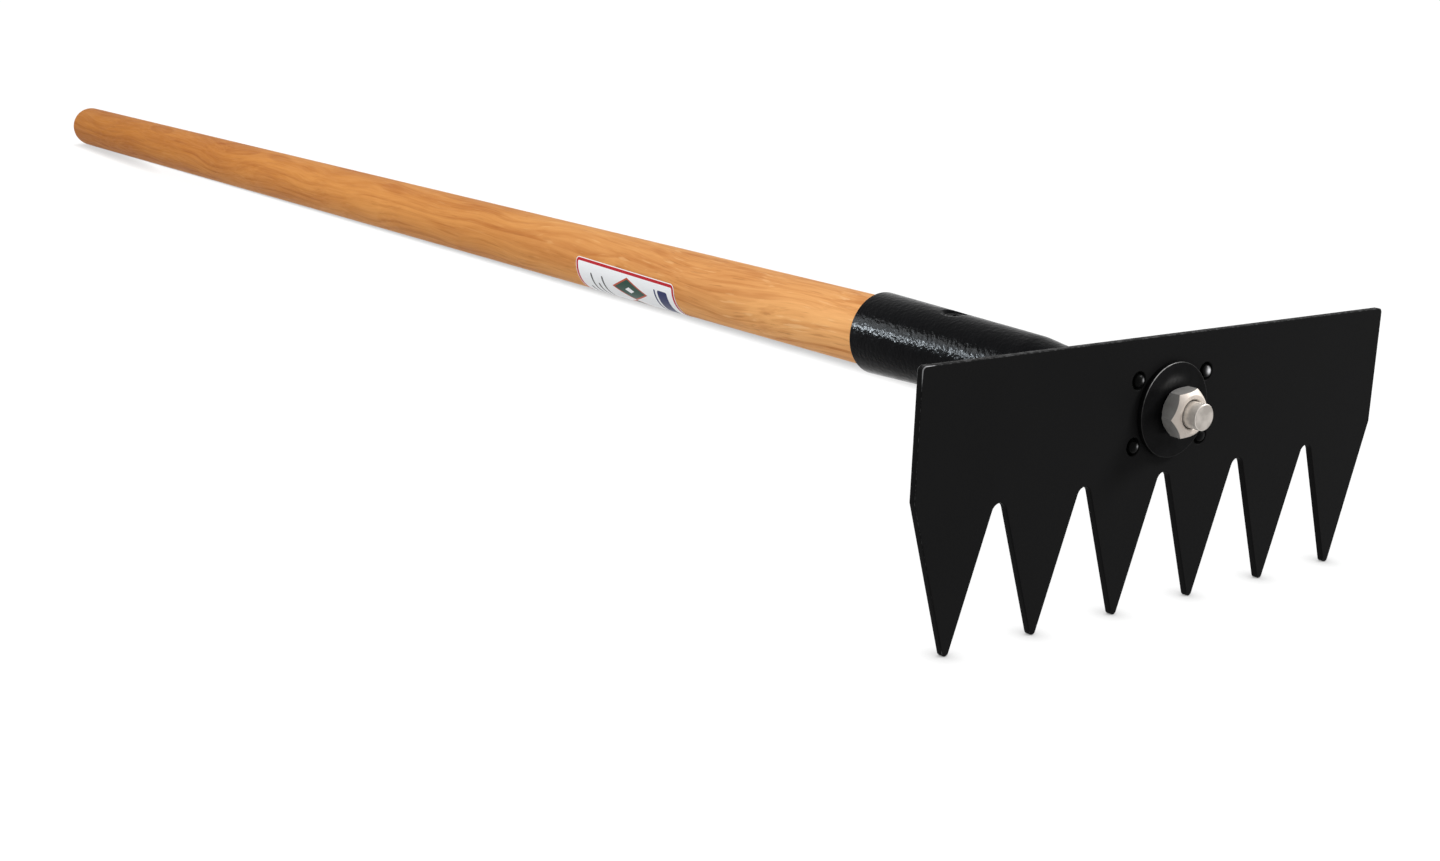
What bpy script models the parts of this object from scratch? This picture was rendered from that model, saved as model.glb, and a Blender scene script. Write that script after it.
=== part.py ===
# Fire rake: a six-toothed steel blade bolted to a socket on a long wooden handle.
# Metres, +Z up. The rake stands on its six teeth and on the butt of its handle.
# Every piece is made in the rake's own frame and hung on one empty, "rake_axis":
# Y runs back along the stud and the handle, the blade's front face lies at Y = 0,
# X runs along the row of teeth and the stud's axis is at X = Z = 0.

import math

import bmesh
import bpy
from mathutils import Matrix, Vector

# Fits
SEAT_GAP = 0.0003            # between two faces that bear on each other
BLADE_PIN_CLEARANCE = 0.00125  # round each locating pin, in the blade
WASHER_CLEARANCE = 0.0006    # round the stud, in the washer

# Blade, 12 in x 5 in, 10 gauge
BLADE_WIDTH = 0.3048
BLADE_HEIGHT = 0.1270
BLADE_THICKNESS = 0.0034
BLADE_CORNER_RADIUS = 0.0022
BLADE_EDGE_BREAK = 0.0004
TOP_EDGE_ABOVE_AXIS = 0.0340
SHOULDER_ABOVE_TIPS = 0.0700
TOOTH_COUNT = 6
TOOTH_PITCH = 0.0518
TOOTH_DEPTH = 0.0635
TOOTH_TIP_RADIUS = 0.0013
TOOTH_ROOT_RADIUS = 0.0042

# Stud, nut and washer
STUD_RADIUS = 0.0061
STUD_END_BEYOND_NUT = 0.0065
STUD_END_CHAMFER = 0.0008
STUD_DEPTH_IN_STEM = 0.0250
NUT_ACROSS_FLATS = 0.0206
NUT_HEIGHT = 0.0100
NUT_TURN = math.radians(9.0)
NUT_FACE_RADIUS = 0.0089     # of the flat ring that the chamfers leave on each face
NUT_CHAMFER_ANGLE = math.radians(38.0)
NUT_BORE_CHAMFER = 0.0009
WASHER_RADIUS = 0.0220
WASHER_THICKNESS = 0.0025
WASHER_EDGE_RADIUS = 0.0006

# Flange behind the blade and its pins
FLANGE_WIDTH = 0.0620
FLANGE_HEIGHT = 0.0450
FLANGE_THICKNESS = 0.00635
FLANGE_CORNER_RADIUS = 0.0060
FLANGE_EDGE_BREAK = 0.0008
PIN_SPACING_X = 0.0450
PIN_SPACING_Z = 0.0300
PIN_RADIUS = 0.0030
PIN_PROUD_OF_BLADE = 0.0016
PIN_NOSE_LENGTH = 0.0018

# Stem, socket and their welds
STEM_RADIUS = 0.0111
STEM_BARE_LENGTH = 0.0337    # between the flange and the socket's neck
STEM_DEPTH_IN_NECK = 0.0160
STEM_EDGE_BREAK = 0.0006
SOCKET_WALL = 0.00266
SOCKET_NECK_LENGTH = 0.0060
SOCKET_CONE_LENGTH = 0.0330
SOCKET_TAPER_LENGTH = 0.1140
SOCKET_SHOULDER_RADIUS = 0.0185  # outer radius where the cone begins
SOCKET_SHOULDER_ROUNDING = 0.0300
SOCKET_NECK_ROUNDING = 0.0150
SOCKET_LIP_ROUNDING = 0.0007
FLANGE_WELD_LEG = 0.0050
NECK_WELD_LEG = 0.0026

# Handle, 54 in x 1 1/2 in
HANDLE_LENGTH = 1.3716
HANDLE_RADIUS = 0.01905
HANDLE_BUTT_DEPTH = 0.0120
HANDLE_NOSE_CHAMFER = 0.0015
HANDLE_FROM_SHOULDER = 0.0040

# Socket screw, a number 12 flat head
SCREW_FROM_MOUTH = 0.0555
SCREW_HEAD_RADIUS = 0.0055
SCREW_HEAD_RIM = 0.0004
SCREW_HEAD_DEPTH = 0.0034
SCREW_SHANK_RADIUS = 0.0027
SCREW_LENGTH = 0.0290
SCREW_POINT_LENGTH = 0.0050
SCREW_SINK = 0.0016          # head below the socket's surface
SCREW_DIMPLE_ANGLE = math.radians(45.0)  # of the hole's flare over the head, from the axis
SCREW_RECESS_WIDTH = 0.0013
SCREW_RECESS_SPAN = 0.0056
SCREW_RECESS_DEPTH = 0.0014

# Label on the handle
LABEL_LENGTH = 0.1080
LABEL_WIDTH = 0.0570
LABEL_THICKNESS = 0.0003
LABEL_CORNER_RADIUS = 0.0035
LABEL_FROM_MOUTH = 0.1640
LABEL_EDGE_ANGLE = math.radians(169.5)  # of its upper edge, from +X towards +Z

# Facets
ROUND_SIDES = 48
SMALL_SIDES = 20
LABEL_STRIPS = 24

# Places along the rake's axis, each from the piece in front of it
FLANGE_FRONT = BLADE_THICKNESS + SEAT_GAP
FLANGE_BACK = FLANGE_FRONT + FLANGE_THICKNESS
STEM_FRONT = FLANGE_BACK + SEAT_GAP
NECK_END = STEM_FRONT + STEM_BARE_LENGTH
CONE_FRONT = NECK_END + SOCKET_NECK_LENGTH
SHOULDER = CONE_FRONT + SOCKET_CONE_LENGTH
MOUTH = SHOULDER + SOCKET_TAPER_LENGTH
HANDLE_FRONT = SHOULDER + HANDLE_FROM_SHOULDER
WASHER_FRONT = -SEAT_GAP - WASHER_THICKNESS
NUT_FRONT = WASHER_FRONT - SEAT_GAP - NUT_HEIGHT
STUD_FRONT = NUT_FRONT - STUD_END_BEYOND_NUT
STUD_BACK = STEM_FRONT + STUD_DEPTH_IN_STEM
SCREW_PLACE = MOUTH - SCREW_FROM_MOUTH
AXIS_ABOVE_TIPS = BLADE_HEIGHT - TOP_EDGE_ABOVE_AXIS

# Radii that follow from what sits inside
MOUTH_RADIUS = HANDLE_RADIUS + SEAT_GAP + SOCKET_WALL
NECK_RADIUS = STEM_RADIUS + SEAT_GAP + SOCKET_WALL

# colour, roughness, metallic
FINISHES = {
    "black_paint": ((0.012, 0.012, 0.013), 0.35, 0.0),
    "black_steel": ((0.020, 0.020, 0.021), 0.42, 0.6),
    "bright_steel": ((0.62, 0.58, 0.53), 0.28, 1.0),
    "oiled_wood": ((0.58, 0.30, 0.11), 0.45, 0.0),
    "label_paper": ((0.82, 0.82, 0.84), 0.50, 0.0),
}


def clear_scene():
    for obj in list(bpy.data.objects):
        bpy.data.objects.remove(obj, do_unlink=True)


# Outlines and profiles

def arc(centre, radius, start, end, steps=6):
    """Points on a circle from one angle to another, ends included."""
    angles = [start + (end - start) * k / steps for k in range(steps + 1)]
    return [(centre[0] + radius * math.cos(a), centre[1] + radius * math.sin(a)) for a in angles]


def rounded(corners, steps=5):
    """Closed outline through (a, b, radius) corners, each turned by the arc that touches both sides."""
    outline = []
    for i, (a, b, radius) in enumerate(corners):
        corner = Vector((a, b))
        if radius == 0:
            outline.append((a, b))
            continue
        back = (Vector(corners[i - 1][:2]) - corner).normalized()
        ahead = (Vector(corners[(i + 1) % len(corners)][:2]) - corner).normalized()
        half = back.angle(ahead) / 2
        centre = corner + (back + ahead).normalized() * radius / math.sin(half)
        spoke = corner + back * radius / math.tan(half) - centre
        turn = spoke.angle_signed(corner + ahead * radius / math.tan(half) - centre)
        for k in range(steps + 1):
            # angle_signed is clockwise, so the spoke turns the other way.
            x, y = Matrix.Rotation(-turn * k / steps, 2) @ spoke
            outline.append((centre.x + x, centre.y + y))
    return outline


def circle(centre, radius, sides):
    step = 2 * math.pi / sides
    return arc(centre, radius, 0, 2 * math.pi - step, steps=sides - 1)


def rectangle(width, height, radius):
    """Outline of a rectangle about its own middle, with round corners."""
    x, z = width / 2, height / 2
    return rounded([(-x, -z, radius), (x, -z, radius), (x, z, radius), (-x, z, radius)])


def tooth_outline():
    """The row of teeth from left to right, as tip arcs and root arcs joined by straight flanks."""
    rise = TOOTH_DEPTH - TOOTH_TIP_RADIUS - TOOTH_ROOT_RADIUS
    run = TOOTH_PITCH / 2
    flank = math.atan2(run, rise)
    flank -= math.asin((TOOTH_TIP_RADIUS + TOOTH_ROOT_RADIUS) / math.hypot(run, rise))
    shoulder_rise = SHOULDER_ABOVE_TIPS - TOOTH_TIP_RADIUS
    shoulder_run = (BLADE_WIDTH - (TOOTH_COUNT - 1) * TOOTH_PITCH) / 2
    outer = math.atan2(shoulder_run, shoulder_rise)
    outer -= math.asin(TOOTH_TIP_RADIUS / math.hypot(shoulder_run, shoulder_rise))
    outline = []
    for i in range(TOOTH_COUNT):
        x = (i - (TOOTH_COUNT - 1) / 2) * TOOTH_PITCH
        left = outer if i == 0 else flank
        right = outer if i == TOOTH_COUNT - 1 else flank
        tip = (x, TOOTH_TIP_RADIUS)
        outline += arc(tip, TOOTH_TIP_RADIUS, math.pi + left, 2 * math.pi - right)
        if i < TOOTH_COUNT - 1:
            root = (x + run, TOOTH_DEPTH - TOOTH_ROOT_RADIUS)
            outline += arc(root, TOOTH_ROOT_RADIUS, math.pi - flank, flank, steps=8)
    return outline


def blade_outline():
    """The teeth, the two shoulders and the round top corners, seen from the front."""
    side, top, r = BLADE_WIDTH / 2, BLADE_HEIGHT, BLADE_CORNER_RADIUS
    outline = tooth_outline()
    outline.append((side, SHOULDER_ABOVE_TIPS))
    outline += arc((side - r, top - r), r, 0, math.pi / 2, steps=4)
    outline += arc((r - side, top - r), r, math.pi / 2, math.pi, steps=4)
    outline.append((-side, SHOULDER_ABOVE_TIPS))
    return [(x, z - AXIS_ABOVE_TIPS) for x, z in outline]


def nose(length, radius, reach, steps=6):
    """(place, radius) points of a half ellipse that closes a round bar at its far end."""
    angles = [math.pi / 2 * k / steps for k in range(steps + 1)]
    return [(length - reach + reach * math.sin(a), radius * math.cos(a)) for a in angles]


def socket_outer_radius(place):
    """Outer radius of the tapered stretch between the shoulder and the mouth."""
    share = (place - SHOULDER) / SOCKET_TAPER_LENGTH
    return SOCKET_SHOULDER_RADIUS + share * (MOUTH_RADIUS - SOCKET_SHOULDER_RADIUS)


# Mesh operators

def plate(outline, thickness, holes=()):
    """Outline in X and Z, filled up to the outlines of its holes and extruded along Y."""
    bm = bmesh.new()
    rims = []
    for loop in [outline, *holes]:
        verts = [bm.verts.new((x, 0, z)) for x, z in loop]
        rims += [bm.edges.new(pair) for pair in zip(verts, verts[1:] + verts[:1])]
    bmesh.ops.triangle_fill(bm, use_beauty=True, edges=rims)
    top = bmesh.ops.extrude_face_region(bm, geom=bm.faces[:])["geom"]
    moved = [v for v in top if isinstance(v, bmesh.types.BMVert)]
    bmesh.ops.translate(bm, verts=moved, vec=(0, thickness, 0))
    bmesh.ops.recalc_face_normals(bm, faces=bm.faces)
    return bm


def turned(profile, sides=ROUND_SIDES, ring=False):
    """(place along Y, radius) profile spun once round Y. A ring's profile is a closed loop."""
    bm = bmesh.new()
    verts = [bm.verts.new((radius, place, 0)) for place, radius in profile]
    edges = [bm.edges.new(pair) for pair in zip(verts, verts[1:])]
    if ring:
        edges.append(bm.edges.new((verts[-1], verts[0])))
    bmesh.ops.spin(
        bm, geom=verts + edges, cent=(0, 0, 0), axis=(0, 1, 0), dvec=(0, 0, 0),
        angle=2 * math.pi, steps=sides, use_merge=True,
    )
    bmesh.ops.remove_doubles(bm, verts=bm.verts, dist=1e-6)
    bmesh.ops.recalc_face_normals(bm, faces=bm.faces)
    return bm


def finish_of(name, finish):
    colour, roughness, metallic = FINISHES[finish]
    material = bpy.data.materials.new(name + "_" + finish)
    material.use_nodes = True
    shader = material.node_tree.nodes["Principled BSDF"]
    shader.inputs["Base Color"].default_value = (*colour, 1)
    shader.inputs["Roughness"].default_value = roughness
    shader.inputs["Metallic"].default_value = metallic
    material.diffuse_color = (*colour, 1)
    return material


def piece(name, bm, parent, finish, place=(0, 0, 0)):
    """One named solid from a bmesh, smooth on its round sides."""
    mesh = bpy.data.meshes.new(name)
    bm.to_mesh(mesh)
    bm.free()
    mesh.shade_smooth()
    mesh.set_sharp_from_angle(angle=math.radians(35))
    obj = bpy.data.objects.new(name, mesh)
    obj.parent = parent
    obj.location = place
    bpy.context.scene.collection.objects.link(obj)
    if finish:
        mesh.materials.append(finish_of(name, finish))
    return obj


def cutter(name, bm, parent, place=(0, 0, 0)):
    obj = piece(name, bm, parent, None, place)
    obj.hide_render = True
    obj.display_type = "WIRE"
    return obj


def boolean(obj, tool, operation="DIFFERENCE"):
    modifier = obj.modifiers.new(tool.name, "BOOLEAN")
    modifier.operation = operation
    modifier.solver = "EXACT"
    modifier.object = tool


def break_edges(obj, width, segments=2):
    modifier = obj.modifiers.new("broken_edges", "BEVEL")
    modifier.width = width
    modifier.segments = segments
    modifier.limit_method = "ANGLE"
    modifier.angle_limit = math.radians(40)


def pin_places():
    x, z = PIN_SPACING_X / 2, PIN_SPACING_Z / 2
    return [(-x, z), (x, z), (-x, -z), (x, -z)]


def head_holes(pin_clearance):
    """Outlines of the stud's hole and of the four pins' holes in a plate of the head."""
    holes = [circle((0, 0), STUD_RADIUS + SEAT_GAP, ROUND_SIDES)]
    holes += [circle(place, PIN_RADIUS + pin_clearance, SMALL_SIDES) for place in pin_places()]
    return holes


# The head

def make_blade(rake):
    bm = plate(blade_outline(), BLADE_THICKNESS, head_holes(BLADE_PIN_CLEARANCE))
    blade = piece("rake_blade", bm, rake, "black_paint")
    break_edges(blade, BLADE_EDGE_BREAK)


def make_flange(rake):
    outline = rectangle(FLANGE_WIDTH, FLANGE_HEIGHT, FLANGE_CORNER_RADIUS)
    bm = plate(outline, FLANGE_THICKNESS, head_holes(SEAT_GAP))
    flange = piece("mounting_flange", bm, rake, "black_paint", (0, FLANGE_FRONT, 0))
    break_edges(flange, FLANGE_EDGE_BREAK, segments=1)


def make_pins(rake):
    """Four pins, flush with the flange's back, that run through the blade to round noses."""
    length = FLANGE_BACK + PIN_PROUD_OF_BLADE
    profile = [(0, 0), (0, PIN_RADIUS)] + nose(length, PIN_RADIUS, PIN_NOSE_LENGTH, steps=4)
    mirrored = [(-place, radius) for place, radius in profile]
    for i, (x, z) in enumerate(pin_places(), 1):
        bm = turned(mirrored, SMALL_SIDES)
        piece(f"locating_pin_{i}", bm, rake, "bright_steel", (x, FLANGE_BACK, z))


def make_stud(rake):
    length = STUD_BACK - STUD_FRONT
    c = STUD_END_CHAMFER
    profile = [
        (0, 0), (0, STUD_RADIUS - c), (c, STUD_RADIUS),
        (length - c, STUD_RADIUS), (length, STUD_RADIUS - c), (length, 0),
    ]
    piece("head_stud", turned(profile), rake, "bright_steel", (0, STUD_FRONT, 0))


def make_washer(rake):
    inner, outer, r = STUD_RADIUS + WASHER_CLEARANCE, WASHER_RADIUS, WASHER_EDGE_RADIUS
    section = rounded([
        (0, inner, 0), (0, outer, r), (WASHER_THICKNESS, outer, r), (WASHER_THICKNESS, inner, 0),
    ], steps=3)
    bm = turned(section, ring=True)
    piece("head_washer", bm, rake, "black_steel", (0, WASHER_FRONT, 0))


def make_nut(rake):
    """Hexagonal bar, cut by a turned barrel for the chamfers and by a chamfered bore."""
    corner = NUT_ACROSS_FLATS / 2 / math.cos(math.pi / 6)
    hexagon = arc((0, 0), corner, NUT_TURN, NUT_TURN + math.pi * 5 / 3, steps=5)
    nut = piece("hex_nut", plate(hexagon, NUT_HEIGHT), rake, "bright_steel", (0, NUT_FRONT, 0))
    past = NUT_HEIGHT / 10
    wide = corner + past
    small = NUT_FACE_RADIUS - past / math.tan(NUT_CHAMFER_ANGLE)
    drop = (wide - NUT_FACE_RADIUS) * math.tan(NUT_CHAMFER_ANGLE)
    barrel = [
        (-past, 0), (-past, small), (drop, wide), (NUT_HEIGHT - drop, wide),
        (NUT_HEIGHT + past, small), (NUT_HEIGHT + past, 0),
    ]
    boolean(nut, cutter("nut_barrel", turned(barrel), rake, (0, NUT_FRONT, 0)), "INTERSECT")
    bore = STUD_RADIUS + SEAT_GAP
    flare = bore + NUT_BORE_CHAMFER + past
    ends = NUT_BORE_CHAMFER
    hole = [
        (-past, 0), (-past, flare), (ends, bore), (NUT_HEIGHT - ends, bore),
        (NUT_HEIGHT + past, flare), (NUT_HEIGHT + past, 0),
    ]
    boolean(nut, cutter("nut_bore", turned(hole), rake, (0, NUT_FRONT, 0)))


# The neck and the socket

def make_stem(rake):
    length = STEM_BARE_LENGTH + STEM_DEPTH_IN_NECK
    bore = STUD_RADIUS + SEAT_GAP
    depth = STUD_DEPTH_IN_STEM + SEAT_GAP
    c = STEM_EDGE_BREAK
    profile = [
        (depth, 0), (depth, bore), (0, bore), (0, STEM_RADIUS - c), (c, STEM_RADIUS),
        (length - c, STEM_RADIUS), (length, STEM_RADIUS - c), (length, 0),
    ]
    piece("neck_stem", turned(profile), rake, "black_paint", (0, STEM_FRONT, 0))


def weld_section(leg, inner):
    """Closed (place, radius) loop of a fillet weld in the corner of a wall and a bar."""
    bulge = leg * 0.45
    return [(0, inner), (0, inner + leg), (bulge, inner + bulge), (leg, inner)]


def make_welds(rake):
    inner = STEM_RADIUS + SEAT_GAP
    bm = turned(weld_section(FLANGE_WELD_LEG, inner), ring=True)
    piece("flange_weld", bm, rake, "black_paint", (0, STEM_FRONT, 0))
    section = [(-place, radius) for place, radius in weld_section(NECK_WELD_LEG, inner)]
    bm = turned(section, ring=True)
    piece("neck_weld", bm, rake, "black_paint", (0, NECK_END - SEAT_GAP, 0))


def make_socket(rake):
    """Tube of even wall: straight neck, cone and long taper out to the mouth."""
    soft, neck, lip = SOCKET_SHOULDER_ROUNDING, SOCKET_NECK_ROUNDING, SOCKET_LIP_ROUNDING
    cone = CONE_FRONT - NECK_END
    shoulder = SHOULDER - NECK_END
    mouth = MOUTH - NECK_END
    wall = SOCKET_WALL
    section = rounded([
        (0, NECK_RADIUS, 0), (cone, NECK_RADIUS, neck), (shoulder, SOCKET_SHOULDER_RADIUS, soft),
        (mouth, MOUTH_RADIUS, lip), (mouth, MOUTH_RADIUS - wall, lip),
        (shoulder, SOCKET_SHOULDER_RADIUS - wall, soft), (cone, NECK_RADIUS - wall, neck),
        (0, NECK_RADIUS - wall, 0),
    ], steps=4)
    bm = turned(section, ring=True)
    socket = piece("handle_socket", bm, rake, "black_paint", (0, NECK_END, 0))
    boolean(socket, screw_hole("socket_screw_hole", rake))


# The handle and what is on it

def screw_profile(grow):
    """(depth, radius) of the flat-headed screw, grown all round for the hole that it sits in."""
    head, shank = SCREW_HEAD_RADIUS + grow, SCREW_SHANK_RADIUS + grow
    return [
        (0, 0), (0, head), (SCREW_HEAD_RIM, head), (SCREW_HEAD_DEPTH, shank),
        (SCREW_LENGTH - SCREW_POINT_LENGTH, shank), (SCREW_LENGTH + grow, 0),
    ]


def screw_head_place():
    return (0, SCREW_PLACE, socket_outer_radius(SCREW_PLACE) - SCREW_SINK)


def screw_hole(name, rake):
    """Cutter of the screw's own shape, with its head end flared out past the socket as a dimple."""
    profile = screw_profile(SEAT_GAP)
    out = SCREW_SINK + SOCKET_WALL
    rim = profile[1][1]
    profile[:1] = [(-out, 0), (-out, rim + out * math.tan(SCREW_DIMPLE_ANGLE))]
    hole = cutter(name, turned(profile, SMALL_SIDES), rake, screw_head_place())
    hole.rotation_euler.x = -math.pi / 2
    return hole


def make_screw(rake):
    screw = piece(
        "socket_screw", turned(screw_profile(0), SMALL_SIDES), rake, "black_steel",
        screw_head_place(),
    )
    screw.rotation_euler.x = -math.pi / 2
    for i in range(2):
        bm = bmesh.new()
        bmesh.ops.create_cube(bm, size=1)
        size = (SCREW_RECESS_SPAN, 2 * SCREW_RECESS_DEPTH, SCREW_RECESS_WIDTH)
        bmesh.ops.scale(bm, vec=size, verts=bm.verts)
        slot = cutter(f"screw_slot_{i + 1}", bm, screw)
        slot.rotation_euler.y = math.radians(30 + 90 * i)
        boolean(screw, slot)


def make_handle(rake):
    """Straight round bar, turned down inside the socket and domed at the butt."""
    c = HANDLE_NOSE_CHAMFER
    front_radius = socket_outer_radius(HANDLE_FRONT) - SOCKET_WALL - SEAT_GAP
    grip = MOUTH - HANDLE_FRONT
    slope = (HANDLE_RADIUS - front_radius) / grip
    profile = [(0, 0), (0, front_radius - c), (c, front_radius + c * slope), (grip, HANDLE_RADIUS)]
    profile += nose(HANDLE_LENGTH, HANDLE_RADIUS, HANDLE_BUTT_DEPTH, steps=8)
    bm = turned(profile)
    handle = piece("handle", bm, rake, "oiled_wood", (0, HANDLE_FRONT, 0))
    boolean(handle, screw_hole("handle_screw_hole", rake))


def make_label(rake):
    """Flat card with round corners, cut into strips and bent round the handle."""
    bm = bmesh.new()
    outline = rectangle(LABEL_WIDTH, LABEL_LENGTH, LABEL_CORNER_RADIUS)
    bm.faces.new([bm.verts.new((x + LABEL_WIDTH / 2, y + LABEL_LENGTH / 2, 0)) for x, y in outline])
    for k in range(1, LABEL_STRIPS):
        everything = bm.verts[:] + bm.edges[:] + bm.faces[:]
        cut = (LABEL_WIDTH * k / LABEL_STRIPS, 0, 0)
        bmesh.ops.bisect_plane(bm, geom=everything, dist=1e-7, plane_co=cut, plane_no=(1, 0, 0))
    top = bmesh.ops.extrude_face_region(bm, geom=bm.faces[:])["geom"]
    moved = [v for v in top if isinstance(v, bmesh.types.BMVert)]
    bmesh.ops.translate(bm, verts=moved, vec=(0, 0, LABEL_THICKNESS))
    bmesh.ops.recalc_face_normals(bm, faces=bm.faces)
    inner = HANDLE_RADIUS + SEAT_GAP
    for vert in bm.verts:
        angle = LABEL_EDGE_ANGLE + (LABEL_WIDTH - vert.co.x) / inner
        radius = inner + vert.co.z
        vert.co = (radius * math.cos(angle), vert.co.y, radius * math.sin(angle))
    piece("handle_label", bm, rake, "label_paper", (0, MOUTH + LABEL_FROM_MOUTH, 0))


# Standing on the floor

def rest_lean():
    """Angle at which the teeth and the domed butt touch one floor."""
    reach = HANDLE_FRONT + HANDLE_LENGTH - HANDLE_BUTT_DEPTH - BLADE_THICKNESS
    tangent = 0
    for _ in range(6):
        drop = math.hypot(HANDLE_RADIUS, HANDLE_BUTT_DEPTH * tangent)
        tangent = (AXIS_ABOVE_TIPS - drop) / reach
    return math.atan(tangent)


def stand_on_floor(rake):
    """Leans the rake back onto its butt, its box's bottom centre at the origin."""
    rake.rotation_euler.x = -rest_lean()
    bpy.context.view_layer.update()
    graph = bpy.context.evaluated_depsgraph_get()
    corners = []
    for obj in rake.children:
        if obj.type == "MESH" and not obj.hide_render:
            solid = obj.evaluated_get(graph)
            corners += [solid.matrix_world @ v.co for v in solid.data.vertices]
    low = Vector([min(c[i] for c in corners) for i in range(3)])
    high = Vector([max(c[i] for c in corners) for i in range(3)])
    rake.location = (-(low.x + high.x) / 2, -(low.y + high.y) / 2, -low.z)


clear_scene()
rake_axis = bpy.data.objects.new("rake_axis", None)
bpy.context.scene.collection.objects.link(rake_axis)
make_blade(rake_axis)
make_flange(rake_axis)
make_pins(rake_axis)
make_stud(rake_axis)
make_washer(rake_axis)
make_nut(rake_axis)
make_stem(rake_axis)
make_socket(rake_axis)
make_welds(rake_axis)
make_handle(rake_axis)
make_screw(rake_axis)
make_label(rake_axis)
stand_on_floor(rake_axis)
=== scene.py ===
import math

import bmesh
import bpy
import numpy as np
from mathutils import Matrix


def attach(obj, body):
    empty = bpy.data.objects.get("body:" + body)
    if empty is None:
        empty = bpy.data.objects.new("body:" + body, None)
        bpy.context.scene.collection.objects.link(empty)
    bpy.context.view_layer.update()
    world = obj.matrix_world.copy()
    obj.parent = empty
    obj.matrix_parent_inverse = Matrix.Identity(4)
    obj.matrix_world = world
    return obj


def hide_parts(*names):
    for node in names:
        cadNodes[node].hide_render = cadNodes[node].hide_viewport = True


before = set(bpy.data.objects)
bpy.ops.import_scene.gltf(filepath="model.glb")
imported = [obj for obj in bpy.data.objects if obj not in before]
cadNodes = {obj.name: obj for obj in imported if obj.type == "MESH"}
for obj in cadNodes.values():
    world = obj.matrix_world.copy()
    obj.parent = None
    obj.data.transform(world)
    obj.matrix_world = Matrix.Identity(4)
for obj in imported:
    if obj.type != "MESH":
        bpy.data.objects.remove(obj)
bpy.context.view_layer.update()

# A rake with a toothed steel blade, bolted to a socket on a long wooden handle.
# Sizes are millimetres in the rake's own frame: X runs along the row of teeth, Y back along the
# stud and the handle from the blade's front face, and Z up the blade from the stud's axis.

mmPerMetre = 1000.0


# The rake's own frame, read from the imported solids

def nodePoints(name):
    # each corner once, because the mesh is loose triangles
    mesh = cadNodes[name].data
    points = np.empty(len(mesh.vertices) * 3)
    mesh.vertices.foreach_get("co", points)
    return np.unique(points.reshape(-1, 3).round(7), axis=0)


def rakeMatrix():
    # the axis runs from the stud's middle to the point of the handle that lies furthest from it
    middle = nodePoints("head_stud").mean(axis=0)
    handle = nodePoints("handle")
    butt = handle[np.linalg.norm(handle - middle, axis=1).argmax()]
    back = (butt - middle) / np.linalg.norm(butt - middle)
    across = np.array([1.0, 0.0, 0.0])
    front = (nodePoints("rake_blade") @ back).min()
    origin = middle + back * (front - middle @ back)
    matrix = np.eye(4)
    matrix[:3] = np.stack([across, back, np.cross(across, back), origin], axis=1)
    return matrix


rakeToWorld = rakeMatrix()
worldToRake = Matrix(rakeToWorld.tolist()).inverted()


def toWorld(points):
    # millimetres in the rake's frame to metres in Blender's
    return np.asarray(points, float) / mmPerMetre @ rakeToWorld[:3, :3].T + rakeToWorld[:3, 3]


print("frame: the rake leans by", round(math.degrees(-math.asin(rakeToWorld[2, 1])), 3), "degrees")


# Surfaces

def arcPoints(centre, radius, start, end, steps):
    # points at even angles on a circle, both ends included
    angle = np.linspace(start, end, steps + 1)
    return np.stack([centre[0] + radius * np.cos(angle), centre[1] + radius * np.sin(angle)], axis=1)


def unit(vectors):
    # each vector divided by its length
    return vectors / np.linalg.norm(vectors, axis=-1, keepdims=True)


def filletedPath(corners, radii, steps, closed=False):
    # each corner is replaced by the arc that touches both of its sides: the arc's centre lies on the
    # corner's bisector at radius / sin(half angle), and its spokes turn evenly from one side to the other
    corners = np.asarray(corners, float)
    count = len(corners)
    share = np.linspace(0, 1, steps + 1).reshape(-1, *([1] * (corners.ndim - 1)))
    rows = []
    for i, radius in enumerate(radii):
        corner = corners[i]
        if radius == 0 or (not closed and i in (0, count - 1)):
            rows.append(corner[None])
            continue
        back, ahead = unit(corners[i - 1] - corner), unit(corners[(i + 1) % count] - corner)
        half = np.arccos(np.clip((back * ahead).sum(-1, keepdims=True), -1, 1)) / 2
        centre = corner + unit(back + ahead) * radius / np.sin(half)
        first = corner + back * radius / np.tan(half) - centre
        last = corner + ahead * radius / np.tan(half) - centre
        turn = math.pi - 2 * half
        spokes = (np.sin((1 - share) * turn) * first + np.sin(share * turn) * last) / np.sin(turn)
        rows.append(centre + spokes)
    return np.concatenate(rows)


def gridFaces(rows, columns, wrapRows=False, wrapColumns=False):
    # one quad for each cell of a grid of rows x columns points, numbered row by row
    i = np.arange(rows if wrapRows else rows - 1)[:, None]
    j = np.arange(columns if wrapColumns else columns - 1)[None, :]
    iNext, jNext = (i + 1) % rows, (j + 1) % columns
    cells = [i * columns + j, iNext * columns + j, iNext * columns + jNext, i * columns + jNext]
    return np.stack(np.broadcast_arrays(*cells), axis=-1).reshape(-1, 4)


def ringAngles(count):
    # even angles once round, in radians
    return np.arange(count) * 2 * math.pi / count


def roundAxis(radius, angle, place):
    # X = radius x cos(angle), Y = place and Z = radius x sin(angle)
    return np.stack(np.broadcast_arrays(radius * np.cos(angle), place, radius * np.sin(angle)), axis=-1)


def turnedPoints(profile, columns):
    # a profile of (place along Y, radius) carried round the Y axis
    place, radius = np.asarray(profile, float).T
    return roundAxis(radius[:, None], ringAngles(columns), place[:, None])


meshTolerances = {"sameCorner": 1e-6, "sameLevel": 1e-4}        # metres


def addObject(name, data):
    added = bpy.data.objects.new(name, data)
    bpy.context.scene.collection.objects.link(added)
    return added


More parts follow.
